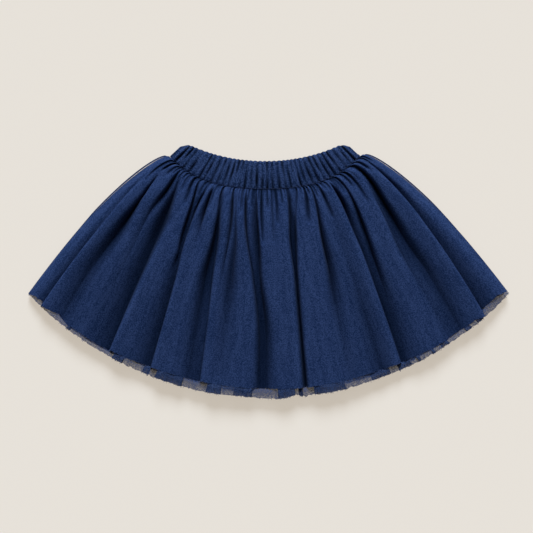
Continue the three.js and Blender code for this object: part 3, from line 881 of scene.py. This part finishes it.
@dataclass(frozen=True, kw_only=True)
class ClothFinish:
    """What all the cloth's finishes share: a mottled matt face, a faint sheen and painted near-black shade in
    creases.
    """

    name: str
    dark: tuple[float, float, float]
    light: tuple[float, float, float]
    bump: float
    # Painted shade in the creases: the most of it that is mixed in, and its near-black colour.
    crease_shade: float
    crease: tuple[float, float, float] = (0.0, 0.001, 0.004)
    roughness: float = 0.9
    sheen: float = 0.02
    sheen_tint: tuple[float, float, float] = (0.45, 0.6, 1.0)
    sheen_roughness: float = 0.45
    bump_depth: float = 0.4 * MM

    def begin(self, grain: bpy.types.NodeTree) -> tuple:
        """Starts the material.

        Args:
            grain: The shared grain group.

        Returns:
            The material, its NodeTree helper, its shader, its grain node, and the place on the cloth from
            the piece's own UV map, in metres across and down.
        """
        material, tree, shader = new_material(self.name)
        place = tree.node("ShaderNodeUVMap", uv_map="cloth").outputs[0]
        mottle = tree.node("ShaderNodeGroup", node_tree=grain)
        tree.feed(mottle, "Cloth Place", place)
        tree.feed(mottle, "Place", tree.node("ShaderNodeTexCoord").outputs["Object"])
        return material, tree, shader, mottle, place

    def dress(
        self, tree: NodeTree, shader: bpy.types.Node, mottle: bpy.types.Node, depth: object, height: object
    ) -> None:
        """Sets the material's colour, with painted shade in the creases, and its sheen and bump.

        Args:
            tree: The material's NodeTree helper.
            shader: Its shader.
            mottle: Its grain node.
            depth: How deep each spot lies in a crease or groove, from 0 to 1, which darkens the colour as
                painted shade.
            height: The relief that the bump shows.
        """
        woven = tree.mix(mottle.outputs["Shade"], (*self.dark, 1), (*self.light, 1))
        # Painted shade: deeper spots in creases and grooves are mixed towards the near-black crease colour.
        sunk = tree.times(depth, self.crease_shade)
        tree.feed(shader, "Base Color", tree.mix(sunk, woven, (*self.crease, 1)))
        tree.feed(shader, "Roughness", self.roughness)
        tree.feed(shader, "Sheen Weight", self.sheen)
        tree.feed(shader, "Sheen Tint", (*self.sheen_tint, 1))
        tree.feed(shader, "Sheen Roughness", self.sheen_roughness)
        tree.feed(shader, "Specular IOR Level", 0.0)
        bump = tree.node("ShaderNodeBump", Height=height, Strength=self.bump, Distance=self.bump_depth)
        tree.feed(shader, "Normal", bump.outputs[0])


@dataclass(frozen=True, kw_only=True)
class TulleFinish(ClothFinish):
    """The finish of a layer of tulle, a see-through net where its piece says that it lies open."""

    open_cover: float
    crease_shade: float = 0.89
    crease_power: float = 1.1
    side_cover: float = 0.3
    patchiness: float = 0.35
    net_relief: float = 0.15

    def material(self, grain: bpy.types.NodeTree, net: bpy.types.NodeTree) -> bpy.types.Material:
        """Makes the material.

        Args:
            grain: The shared grain group.
            net: The shared net group.

        Returns:
            The material, which reads the piece's lie: how open the net is at the side and at the hem, and
            how deep it lies in a crease, which it paints as shade.
        """
        material, tree, shader, mottle, place = self.begin(grain)
        cover = tree.node("ShaderNodeGroup", node_tree=net, Cloth_Place=place).outputs["Cover"]
        lie = tree.node("ShaderNodeAttribute", attribute_name="lie").outputs["Vector"]
        side, hem, depth = tree.node("ShaderNodeSeparateXYZ", Vector=lie).outputs
        height = tree.plus(mottle.outputs["Height"], tree.times(cover, self.net_relief))
        # The crease depth, raised to crease_power, sets the painted shade.
        self.dress(tree, shader, mottle, tree.math("POWER", depth, self.crease_power), height)
        shade = mottle.outputs["Shade"]
        patchy = tree.plus(1 - self.patchiness, tree.times(shade, 2 * self.patchiness))
        sheer = tree.plus(tree.times(cover, 1 - self.open_cover), tree.times(patchy, self.open_cover))
        at_hem = tree.blend(hem, 1.0, sheer)
        tree.feed(shader, "Alpha", tree.blend(side, at_hem, tree.times(shade, self.side_cover)))
        return material


class BandFinish(ClothFinish):
    """The finish of the gathered casing, with shade painted into the grooves between its ribs."""

    def material(self, grain: bpy.types.NodeTree) -> bpy.types.Material:
        """Makes the casing's material.

        Args:
            grain: The shared grain group.

        Returns:
            The material, which reads how deep the band's grooves are and paints shade into them.
        """
        material, tree, shader, mottle, _ = self.begin(grain)
        groove = tree.node("ShaderNodeAttribute", attribute_name="groove").outputs["Fac"]
        # Painted shade in the grooves between the ribs.
        self.dress(tree, shader, mottle, groove, mottle.outputs["Height"])
        return material


OUTER_FINISH = TulleFinish(
    name="dense navy tulle", dark=(0.0075, 0.0185, 0.062), light=(0.0243, 0.0465, 0.131),
    open_cover=0.3, bump=0.6,
)
UNDER_FINISH = TulleFinish(
    name="sheer navy tulle", dark=(0.0095, 0.021, 0.066), light=(0.031, 0.053, 0.132),
    open_cover=0.47, bump=0.3,
)
BAND_FINISH = BandFinish(
    name="navy casing", dark=(0.005, 0.014, 0.048), light=(0.032, 0.059, 0.158),
    crease_shade=0.9, bump=0.6,
)


@dataclass(frozen=True)
class ThreadFinish:
    """The finish of single threads, at the raw hems and in the waist seam."""

    colour: tuple[float, float, float] = (0.03, 0.055, 0.16)
    dark_share: float = 0.5
    tone_scale: float = 900.0
    roughness: float = 0.8

    def material(self) -> bpy.types.Material:
        """Makes the material, with a soft change of tone from thread to thread.

        Returns:
            The material.
        """
        material, tree, shader = new_material("navy thread")
        place = tree.node("ShaderNodeTexCoord").outputs["Object"]
        tone = tree.node("ShaderNodeTexNoise", Vector=place, Scale=self.tone_scale)
        dark = (self.dark_share * part for part in self.colour)
        tree.feed(shader, "Base Color", tree.mix(tone.outputs[0], (*dark, 1), (*self.colour, 1)))
        tree.feed(shader, "Roughness", self.roughness)
        return material


def store_lie(piece: bpy.types.Object, side: np.ndarray, hem: np.ndarray, depth: np.ndarray) -> None:
    """Stores how a piece lies at each point.

    Args:
        piece: The piece.
        side: How open the net lies at the side seams.
        hem: How open it lies at the hem.
        depth: How deep it lies in a crease, which the material paints as shade.
    """
    store(piece, "lie", np.stack([side.ravel(), hem.ravel(), depth.ravel()], axis=-1), "FLOAT_VECTOR")


class Hold(Enum):
    """How a sheet is held."""

    GATHERED = "gathered"
    LAID = "laid"


def cloth_places(across: np.ndarray, down: np.ndarray, start: float = 0) -> np.ndarray:
    """Works out a UV map in metres of cloth.

    Args:
        across: Places across.
        down: Places down.
        start: Where the cloth starts across.

    Returns:
        Metres across and down for each place, one row each.
    """
    widest = FAN.unit(np.array(0.0), np.array(1.0))
    length = FAN.hem - FAN.seam
    return np.stack([start + across * widest, -down * length], axis=-1).reshape(-1, 2)


def declare(piece: bpy.types.Object, node: str) -> None:
    """Says which node a piece stands for: attaches it to the body, hides that node's part and logs it.

    Args:
        piece: The piece.
        node: The node's name.
    """
    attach(piece, BODY)
    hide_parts(node)
    LOG.info("%s stands for %s", piece.name, node)


@dataclass
class OuterTulle:
    """The dense outer layer: a folded front and a back pressed flat below it.

    At the sides the front's edge draws in from the back's, and between them the back is a sheer slit with a
    fine line of cloth outside it.
    """

    grid: SheetGrid = SheetGrid()
    relief: FrontRelief = FrontRelief()
    wall: float = 0.3 * MM
    hem_rough: float = 0.0013
    raw_edge: float = 0.005
    raw_openness: float = 0.12
    side_rim: float = 0.003
    side_openness: float = 0.5
    inset_from: float = 0.9
    back_hem: float = 0.953
    back_raw_edge: float = 0.006
    back_columns: int = 200
    back_rows: int = 60
    back_crowding: float = 1.6
    mark_rise: float = 0.9 * MM
    mark_width: float = 0.5
    slit_stations: tuple[float, ...] = (0, 0.03, 0.1, 0.2, 0.32, 0.45, 0.6, 1)
    slits: tuple[float, ...] = (0, 0.9, 1.3, 1.2, 0.9, 0.55, 0.15, 0)
    right_slit: float = 0.78
    slit_open: float = 0.25 * MM
    edge_line: float = 1.8 * MM
    edge_soft: float = 0.75
    edge_out: float = 1.2 * MM
    edge_out_slit: float = 0.5 * MM

    def slit(self, across: np.ndarray, down: np.ndarray) -> np.ndarray:
        """Width of the sheer slit between the front and the back's edge at the side, in metres."""
        share = np.where(across > 0, self.right_slit, 1)
        return share * np.interp(down, self.slit_stations, self.slits) * MM

    def front(self, material: bpy.types.Material) -> tuple[bpy.types.Object, np.ndarray]:
        """Builds the folded front panel.

        Args:
            material: The layer's finish.

        Returns:
            The panel and its last rows of points.
        """
        across, down = self.grid.places(OUTER_HEM, self.hem_rough)
        at_seam = np.broadcast_to(across[len(self.grid.tuck)], across.shape)
        height, lean, depth = self.relief.shape(across, down, at_seam)
        at_side = smooth_step(self.inset_from, 1, np.abs(across)) * np.sign(across)
        leaning = across + (lean - self.slit(across, down) * at_side) / FAN.unit(across, down)
        points = FAN.point(leaning, down, height)
        piece = mesh_object(
            "outer_front", points.reshape(-1, 3), grid_faces(*across.shape), cloth_places(across, down)
        )
        side = smooth_step(1 - self.side_rim, 1, np.abs(across))
        raw = smooth_step(down[-1] - self.raw_edge, down[-1], down)
        # depth is the share of shade painted into the creases.
        store_lie(piece, self.side_openness * side, self.raw_openness * raw, depth)
        finish_sheet(piece, self.wall, material)
        return piece, points[-HEM_ROWS:]

    def back(self, material: bpy.types.Material) -> bpy.types.Object:
        """Builds the back panel, flat where it rests, with its edge just past the front's at the sides.

        Args:
            material: The layer's finish.

        Returns:
            The panel.
        """
        across, down = np.meshgrid(
            np.linspace(-1, 1, self.back_columns + 1), np.linspace(0, self.back_hem, self.back_rows + 1)
        )
        across = np.sign(across) * (1 - (1 - np.abs(across)) ** self.back_crowding)
        unit = FAN.unit(across, down)
        rise = np.zeros_like(across)
        for fold in FOLDS:
            off = (across + fold.place(down)) * unit
            mark = np.exp(-((off / (self.mark_width * fold.width(off, down))) ** 2))
            rise = np.maximum(rise, self.mark_rise * mark)
        slit = self.slit(across, down)
        wider = across * (1 + self.edge_out * np.minimum(1, slit / self.edge_out_slit) / unit)
        points = FAN.point(wider, down, self.wall + rise).reshape(-1, 3)
        piece = mesh_object("outer_back", points, grid_faces(*across.shape), cloth_places(across, down))
        inside = (1 - np.abs(across)) * unit
        past_line = smooth_step(self.edge_soft * self.edge_line, self.edge_line, inside)
        in_slit = past_line * (inside < slit + self.edge_out + self.edge_line)
        raw = smooth_step(self.back_hem - self.back_raw_edge, self.back_hem, down)
        store_lie(piece, in_slit * np.minimum(1, slit / self.slit_open), raw, np.zeros_like(across))
        finish_sheet(piece, self.wall, material)
        return piece

    def build(self, material: bpy.types.Material) -> np.ndarray:
        """Args:
            material: The layer's finish.

        Returns:
            The front's last rows of points.
        """
        front, hem = self.front(material)
        back = self.back(material)
        declare(front, "outer_tulle_front")
        declare(back, "outer_tulle_back")
        return hem


@dataclass
class UnderTulle:
    """The sheer under layer, which comes out below the outer one and lies there in narrow flat pleats."""

    relief: FrontRelief = FrontRelief()
    wall: float = 0.25 * MM
    rows: int = 60
    row_crowding: float = 0.7
    step: float = 0.008
    least_steps: int = 3
    next_step: float = 0.3
    share_stations: tuple[float, ...] = (0, 0.1, 0.9, 0.965, 1)
    shares: tuple[float, ...] = (0.92, 0.955, 0.96, 0.99, 1)
    lift: float = 1 * MM
    lift_over: float = 0.0045
    front_height: float = 4.5 * MM
    follow: tuple[float, float] = (0.5, 1)
    follow_from: float = 0.75
    follow_to: float = 0.93
    clearance: float = 0.6 * MM
    reach: tuple[int, int] = (7, 1)
    level_reach: int = 9
    turn_width: float = 0.003
    # turn_shade paints a line of shade along the turns at the pleats' edges.
    turn_shade: float = 0.4
    turn_cover: float = 0.8
    ply_drop: tuple[float, float, float] = (0.6 * MM, 0.32 * MM, 0.0)
    narrowest: float = 0.3
    back_height: float = 2.9 * MM
    back_columns: int = 200
    hem_rough: float = 0.0019
    front_seed: int = 11
    back_seed: int = 12
    raw_edge: float = 0.035
    openness: tuple[float, float] = (0.76, 1.14)
    wave: float = 0.5 * MM
    wave_turn: float = 90
    wave_from: float = 0.9
    cloth_start: float = 0.7

    def pleated_places(self) -> tuple[np.ndarray, np.ndarray, np.ndarray, np.ndarray]:
        """Follows the cloth across the front, back under and on again at each pleat.

        Returns:
            Places across at the hem, the number of the pleat that each lies in or -1, how high it lies in
            the pleat's three plies, from 0 to 2, and whether the cloth turns there.
        """
        across, pleat, ply, turn = [], [], [], []
        start = -1.0
        for k, (left, right) in enumerate(TABS):
            for first, last, level in ((start, right, 0), (right, left, 1), (left, right, 2)):
                near = math.copysign(self.turn_width, last - first)
                count = max(self.least_steps, math.ceil(abs(last - first) / self.step))
                across.extend([first, *np.linspace(first + near, last - near, count), last])
                pleat.extend([-1 if level == 0 else k] * (count + 1) + [k])
                ply.extend([level] * (count + 2))
                turn.extend([min(level, 1)] + [0] * count + [1])
            start = right + self.next_step * self.step
        rest = np.linspace(start, 1, math.ceil((1 - start) / self.step))
        across.extend(rest)
        pleat.extend([-1] * len(rest))
        ply.extend([0] * len(rest))
        turn.extend([0] * len(rest))
        return np.array(across), np.array(pleat), np.array(ply), np.array(turn)

    def inner_height(self, across: np.ndarray, down: np.ndarray) -> np.ndarray:
        """Works out how high the layer lies below the outer one.

        Args:
            across: Places across.
            down: Places down.

        Returns:
            Its height: part way up to the outer layer's lowest place nearby.
        """
        outer = self.relief.shape(across, down, across)[0] - self.clearance
        near_hem = smooth_step(self.follow_from, self.follow_to, down)
        follow = self.follow[0] + (self.follow[1] - self.follow[0]) * near_hem
        wide, narrow = (self.lowest_near(outer, reach) for reach in self.reach)
        return self.front_height + follow * (wide + (narrow - wide) * near_hem)

    def lowest_near(self, outer: np.ndarray, reach: int) -> np.ndarray:
        """Room above the layer, smoothed, where the outer layer is lowest within some columns."""
        room = np.maximum(0, np.min(self.neighbours(outer, reach), axis=0) - self.front_height)
        return np.minimum(room, np.mean(self.neighbours(room, reach), axis=0))

    def neighbours(self, values: np.ndarray, reach: int) -> list[np.ndarray]:
        """The values moved across by up to some columns either way."""
        columns = np.arange(values.shape[1])
        return [values[:, np.clip(columns + k, 0, len(columns) - 1)] for k in range(-reach, reach + 1)]

    def down_shares(self) -> np.ndarray:
        """How far down to its hem each row lies, as one column."""
        return np.linspace(0, 1, self.rows + 1)[:, None] ** self.row_crowding

    def panel(
        self, name: str, across: np.ndarray, down: np.ndarray, height: np.ndarray, turn: np.ndarray,
        material: bpy.types.Material
    ) -> tuple[bpy.types.Object, np.ndarray]:
        """Builds one panel.

        Args:
            name: The piece's name.
            across: Places across.
            down: Places down.
            height: Height of each place.
            turn: Where the cloth turns at a pleat's edge, for each column.
            material: The sheer finish.

        Returns:
            The panel and its last rows of points.
        """
        points = FAN.point(across, down, height)
        places = cloth_places(across, down, self.cloth_start)
        piece = mesh_object(name, points.reshape(-1, 3), grid_faces(*across.shape), places)
        edge = np.broadcast_to(turn, across.shape)
        raw = smooth_step(down[-1] - self.raw_edge, down[-1], down)
        open_net = self.openness[0] + (self.openness[1] - self.openness[0]) * raw
        hem = open_net * (1 - self.turn_cover * edge)
        # The turns at the pleats' edges get a line of painted shade.
        store_lie(piece, np.zeros_like(across), hem, self.turn_shade * edge)
        finish_sheet(piece, self.wall, material)
        return piece, points[-HEM_ROWS:]

    def front(self, material: bpy.types.Material) -> tuple[bpy.types.Object, np.ndarray]:
        """Builds the pleated front panel.

        Args:
            material: The layer's finish.

        Returns:
            The panel and its last rows of points.
        """
        at_hem, pleat, ply, turn = self.pleated_places()
        share = self.down_shares()
        order = np.argsort(at_hem, kind="stable")
        hem = np.empty_like(at_hem)
        hem[order] = hem_line(UNDER_HEM, at_hem[order], self.hem_rough, self.front_seed)
        down = share * hem
        middle = np.array([*(sum(tab) / 2 for tab in TABS), 0.0])[pleat]
        held = np.where(pleat >= 0, self.narrowest + (1 - self.narrowest) * share, 1)
        across = (middle + (at_hem - middle) * held) * along_table(self.share_stations, self.shares, down)
        covered = np.any([(at_hem > left) & (at_hem < right) for left, right in TABS], axis=0)
        drop = np.where((pleat >= 0) | covered, np.array(self.ply_drop)[ply], 0)
        outer_hem = np.interp(across, *zip(*OUTER_HEM))
        past = smooth_step(outer_hem, outer_hem + self.lift_over, down)
        height = self.inner_height(across, down)
        level = np.mean(self.neighbours(height, self.level_reach), axis=0) + self.lift
        wave = self.wave * np.sin(across * self.wave_turn) * smooth_step(self.wave_from, 1, down)
        height += (level - height) * past - drop + wave
        return self.panel("under_front", across, down, height, turn, material)

    def back(self, material: bpy.types.Material) -> tuple[bpy.types.Object, np.ndarray]:
        """Builds the flat back panel.

        Args:
            material: The layer's finish.

        Returns:
            The panel and its last rows of points.
        """
        column = np.linspace(-1, 1, self.back_columns + 1)
        down = self.down_shares() * hem_line(UNDER_BACK_HEM, column, self.hem_rough, self.back_seed)
        across = column * along_table(self.share_stations, self.shares, down)
        height = np.full_like(across, self.back_height)
        return self.panel("under_back", across, down, height, np.zeros_like(column), material)

    def build(self, material: bpy.types.Material) -> tuple[np.ndarray, np.ndarray]:
        """Args:
            material: The layer's finish.

        Returns:
            The last rows of points of the front and of the back.
        """
        front, front_hem = self.front(material)
        back, back_hem = self.back(material)
        declare(front, "under_tulle_front")
        declare(back, "under_tulle_back")
        return front_hem, back_hem


@dataclass
class Waistband:
    """The gathered casing: a closed ring laid flat, with a slit inside it and upright ribs on its front."""

    spread: float = 46.7
    top_radius: float = 106.1 * MM
    top_sag: float = 15.2 * MM
    sag_angle: float = 43
    corner: float = 5 * MM
    height: float = 8.3 * MM
    ribs: float = 35
    rib_rise: float = 2.6 * MM
    scallop: float = 1.4 * MM
    front_columns: int = 420
    back_columns: int = 140
    outside_rows: int = 26
    inside_rows: int = 6
    fold_share: float = 0.8
    end_height: float = 5.4 * MM
    end_out: float = 0.4
    end_shares: tuple[float, ...] = (0.8, 0.6, 0.4, 0.2)
    end_drop: float = 0.5
    end_power: float = 30
    slit_high: float = 3.9 * MM
    slit_low: float = 3.3 * MM
    slit_spread: float = 44.4
    crown: float = 0.6 * MM
    crown_weight: float = 0.5
    cloth_round: float = 0.46
    cloth_start: float = 0.1
    cloth_deep: float = 32 * MM

    def top(self, angle: np.ndarray) -> np.ndarray:
        """Radius of the top edge, which sags in the middle and is rounded at the ends."""
        past = np.maximum(0, np.abs(angle) - self.sag_angle) / (self.spread - self.sag_angle)
        return self.top_radius + self.top_sag * (angle / self.sag_angle) ** 2 + self.corner * past * past

    def point(self, angle: np.ndarray, up: np.ndarray, height: np.ndarray) -> np.ndarray:
        """Points at an angle, some way up from the seam, and a height."""
        seam = FAN.seam_radius(angle) - FAN.seam_gap / 2
        return FAN.polar(angle, seam + (self.top(angle) - seam) * up, height)

    def loop(self) -> tuple[np.ndarray, np.ndarray, np.ndarray, np.ndarray]:
        """Goes once round the band: its front, its right end, its back and its left end.

        Returns:
            For each point, its angle, its height as a share of the front's, its place along the ribs,
            and whether it lies on the front.
        """
        front = np.linspace(-1, 1, self.front_columns + 1)
        back = np.linspace(1, -1, self.back_columns + 1)
        shares = np.array(self.end_shares)
        turn = 1 + self.end_out / self.spread * np.sin(math.pi * shares)
        none = np.zeros_like(shares)
        angle = np.concatenate([front, turn, back, -turn[::-1]]) * self.spread
        share = np.concatenate([np.ones_like(front), shares, np.zeros_like(back), shares[::-1]])
        place = np.concatenate([(front + 1) / 2, none + 1, (back + 1) / 2, none])
        on_front = np.concatenate([np.ones_like(front), none, np.zeros_like(back), none])
        return angle, share, place, on_front

    def rings(self) -> tuple[np.ndarray, np.ndarray, np.ndarray, np.ndarray]:
        """Lays rings of points up the outside, over the top edge and down inside the slit.

        Returns:
            The points, one ring in each row; how far up each ring lies, as one column; and for each point
            its place along the ribs and how strongly they shape it.
        """
        angle, share, place, on_front = self.loop()
        up = np.linspace(0, 1, self.outside_rows + 1)[:, None]
        down = np.linspace(1, 0, self.inside_rows + 1)[:, None]
        bulge = self.fold_share + (1 - self.fold_share) * np.sqrt(np.maximum(0, 1 - (2 * up - 1) ** 2))
        ends = np.sqrt(1 - self.end_drop * np.abs(2 * place - 1) ** self.end_power)
        height = np.where(on_front > 0, self.height * bulge * ends, self.end_height * share)
        slit = np.where(on_front > 0, self.slit_high, self.slit_low)
        outside = self.point(angle, up, height)
        crown = self.point(angle, 1 + self.crown / CASING, (height[-1:] + slit) / 2)
        inner_angle = angle * self.slit_spread / self.spread
        inside = self.point(inner_angle, down, np.broadcast_to(slit, (len(down), len(angle))))
        points = np.concatenate([outside, crown, inside])
        weight = np.zeros(points.shape[:2])
        weight[: len(up)] = on_front * ends
        weight[len(up)] = self.crown_weight * on_front
        ups = np.concatenate([up, [[1.0]], down])
        return points, ups, np.broadcast_to(place, weight.shape), weight

    def way_up(self) -> np.ndarray:
        """Works out the way up the band, along which the scallops stand proud.

        Returns:
            A unit vector for each point of a ring, or nought off the front.
        """
        angle, _, _, on_front = self.loop()
        away = self.point(angle, np.array(1.0), 0.0) - self.point(angle, np.array(0.0), 0.0)
        return away / np.linalg.norm(away, axis=-1, keepdims=True) * on_front[:, None]

    def build(self, material: bpy.types.Material, ribs: bpy.types.NodeTree) -> None:
        """Args:
            material: The casing's finish.
            ribs: The rib group.
        """
        points, ups, along, weight = self.rings()
        rows, columns = weight.shape
        k = np.arange(rows)[:, None] * columns + np.arange(columns)
        below, right = np.roll(k, -1, axis=0), np.roll(k, -1, axis=1)
        faces = np.stack([k, right, np.roll(below, -1, axis=1), below], axis=-1).reshape(-1, 4).tolist()
        deep = np.broadcast_to(ups * self.cloth_deep, along.shape)
        uv = np.stack([along * self.cloth_round + self.cloth_start, deep], axis=-1)
        piece = mesh_object("band", points.reshape(-1, 3), faces, uv.reshape(-1, 2))
        store(piece, "rib_place", along)
        store(piece, "rib_weight", weight)
        store(piece, "rib_up", weight * ups)
        store(piece, "rib_push", np.broadcast_to(self.way_up(), points.shape), "FLOAT_VECTOR")
        values = {"Ribs": self.ribs, "Rise": self.rib_rise, "Scallop": self.scallop, "Material": material}
        bake_nodes(piece, ribs, values)
        piece.data.materials.clear()
        piece.data.materials.append(material)
        declare(piece, "waistband")


@dataclass(frozen=True)
class Fringe:
    """The loose threads of a raw hem: how far above it they begin, the longest one, and their seed."""

    name: str
    slot: str
    start: float
    length: float
    seed: int


FRINGES = {
    "outer": Fringe("outer_threads", "outer_tulle", 0.6 * MM, 1.3 * MM, 21),
    "under": Fringe("under_threads", "under_tulle", 2.2 * MM, 4 * MM, 22),
    "back": Fringe("back_threads", "under_tulle", 2.2 * MM, 4 * MM, 23),
}


@dataclass
class Sewing:
    """Loose threads at the raw hems and a row of small stitches above the waist seam."""

    group: bpy.types.NodeTree
    material: bpy.types.Material
    thread_pitch: float = 3 * MM
    thread_radius: float = 0.2 * MM
    thread_spread: float = 0.35
    stitch_pitch: float = 2.4 * MM
    stitch_length: float = 1.7 * MM
    stitch_shortest: float = 0.85
    stitch_spread: float = 0.12
    stitch_radius: float = 0.16 * MM
    stitch_up: float = 1.1 * MM
    stitch_sink: float = 0.5 * MM
    stitch_bulge: float = 0.4
    stitch_reach: float = 0.95
    stitch_seed: int = 5
    ahead: float = 0.5

    def hem_threads(self, fringe: Fringe, hem: np.ndarray) -> bpy.types.Object:
        """Makes the loose threads of one raw hem.

        Args:
            fringe: Which hem they belong to, and how long they are.
            hem: The cloth's last rows of points there.

        Returns:
            The piece.
        """
        rng = np.random.default_rng(fringe.seed)
        edge, above = hem[-1], hem[0]
        steps = np.linalg.norm(np.diff(edge, axis=0), axis=1)
        along = np.concatenate([[0], np.cumsum(steps)])
        places = np.sort(rng.uniform(0, along[-1], int(along[-1] / self.thread_pitch)))
        ends = np.stack([np.interp(places, along, edge[:, k]) for k in range(3)], axis=-1)
        roots = np.stack([np.interp(places, along, above[:, k]) for k in range(3)], axis=-1)
        aims = (ends - roots) / np.linalg.norm(ends - roots, axis=-1, keepdims=True)
        points = ends - aims * fringe.start + np.array([0, 0, self.thread_radius])
        values = {
            "Radius": self.thread_radius, "Length": fringe.length, "Spread": self.thread_spread,
            "Seed": fringe.seed, "Material": self.material,
        }
        return strew_threads(fringe.name, points, aims, self.group, values)

    def stitches(self) -> bpy.types.Object:
        """Makes the stitches that hold the casing down, just above the waist seam.

        Returns:
            The piece.
        """
        band = Waistband()
        length = math.radians(2 * band.spread) * FAN.seam
        count = int(length / self.stitch_pitch)
        angle = np.linspace(-self.stitch_reach, self.stitch_reach, count) * band.spread
        up = np.full_like(angle, self.stitch_up / CASING)
        lift = band.height * (band.fold_share + (1 - band.fold_share) * self.stitch_bulge) - self.stitch_sink
        points = band.point(angle, up, lift)
        ahead = band.point(angle + self.ahead, up, lift) - points
        aims = ahead / np.linalg.norm(ahead, axis=-1, keepdims=True)
        values = {
            "Radius": self.stitch_radius, "Length": self.stitch_length, "Shortest": self.stitch_shortest,
            "Spread": self.stitch_spread, "Seed": self.stitch_seed, "Material": self.material,
        }
        return strew_threads("seam_stitches", points, aims, self.group, values)

    def build(self, hems: dict[str, np.ndarray]) -> None:
        """Args:
            hems: The last rows of points at each raw hem, named as in FRINGES.
        """
        pieces = [(self.hem_threads(FRINGES[key], hem), FRINGES[key].slot) for key, hem in hems.items()]
        pieces.append((self.stitches(), "band_cloth"))
        for piece, slot in pieces:
            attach(piece, BODY)
            LOG.info("%s: %d faces of thread", piece.name, len(piece.data.polygons))


@dataclass
class Studio:
    """A plain pale floor, soft light from beyond the waist, and a camera straight above."""

    frame_width: float = 0.6
    camera_height: float = 2.4
    camera_x: float = -1.7 * MM
    camera_y: float = 4.5 * MM
    sensor: float = 36.0
    floor_size: float = 4.0
    floor_colour: tuple[float, float, float] = (0.253, 0.27, 0.284)
    floor_glow: tuple[float, float, float] = (0.53, 0.47, 0.395)
    floor_roughness: float = 0.95
    floor_gloss: float = 0.1
    key_elevation: float = 33.0
    key_strength: float = 5.1
    key_softness: float = 26.0
    sky_colour: tuple[float, float, float] = (0.97, 0.985, 1.0)
    sky_strength: float = 0.17

    def build(self) -> None:
        """Builds the floor, the lights and the camera."""
        self.floor()
        self.key_light()
        self.sky()
        self.camera()
        bpy.context.scene.view_settings.view_transform = "Standard"

    def floor(self) -> None:
        """Builds the floor."""
        half = self.floor_size / 2
        corners = np.array([(-half, -half, 0), (half, -half, 0), (half, half, 0), (-half, half, 0)])
        floor = mesh_object("floor", corners, [(0, 1, 2, 3)])
        material, tree, shader = new_material("pale floor")
        tree.feed(shader, "Base Color", (*self.floor_colour, 1))
        tree.feed(shader, "Roughness", self.floor_roughness)
        tree.feed(shader, "Specular IOR Level", self.floor_gloss)
        tree.feed(shader, "Emission Color", (*self.floor_glow, 1))
        tree.feed(shader, "Emission Strength", 1.0)
        floor.data.materials.append(material)

    def key_light(self) -> None:
        """Adds the soft light that falls on the skirt from beyond the waist."""
        lamp = bpy.data.lights.new("key", "SUN")
        lamp.energy = self.key_strength
        lamp.angle = math.radians(self.key_softness)
        source = bpy.data.objects.new("key", lamp)
        source.rotation_euler = (math.radians(self.key_elevation - 90), 0, 0)
        bpy.context.scene.collection.objects.link(source)

    def sky(self) -> None:
        """Adds the faint light from all round."""
        world = bpy.data.worlds.new("studio")
        world.use_nodes = True
        background = world.node_tree.nodes["Background"]
        background.inputs["Color"].default_value = (*self.sky_colour, 1)
        background.inputs["Strength"].default_value = self.sky_strength
        bpy.context.scene.world = world

    def camera(self) -> None:
        """Adds the camera, which looks straight down."""
        camera = bpy.data.cameras.new("overhead")
        camera.sensor_width = self.sensor
        camera.lens = self.sensor * self.camera_height / self.frame_width
        eye = bpy.data.objects.new("overhead", camera)
        eye.location = (self.camera_x, self.camera_y, self.camera_height)
        bpy.context.scene.collection.objects.link(eye)
        bpy.context.scene.camera = eye


def main() -> None:
    """Builds the studio, the layers, the band and the sewing."""
    Studio().build()
    grain, net = crepe_grain_group(), net_group()
    under, back = UnderTulle().build(UNDER_FINISH.material(grain, net))
    outer = OuterTulle().build(OUTER_FINISH.material(grain, net))
    Waistband().build(BAND_FINISH.material(grain), RibShape().group())
    Sewing(thread_group(), ThreadFinish().material()).build({"outer": outer, "under": under, "back": back})


if __name__ == "__main__":
    logging.basicConfig(level=logging.INFO, format="%(name)s: %(message)s")
    main()
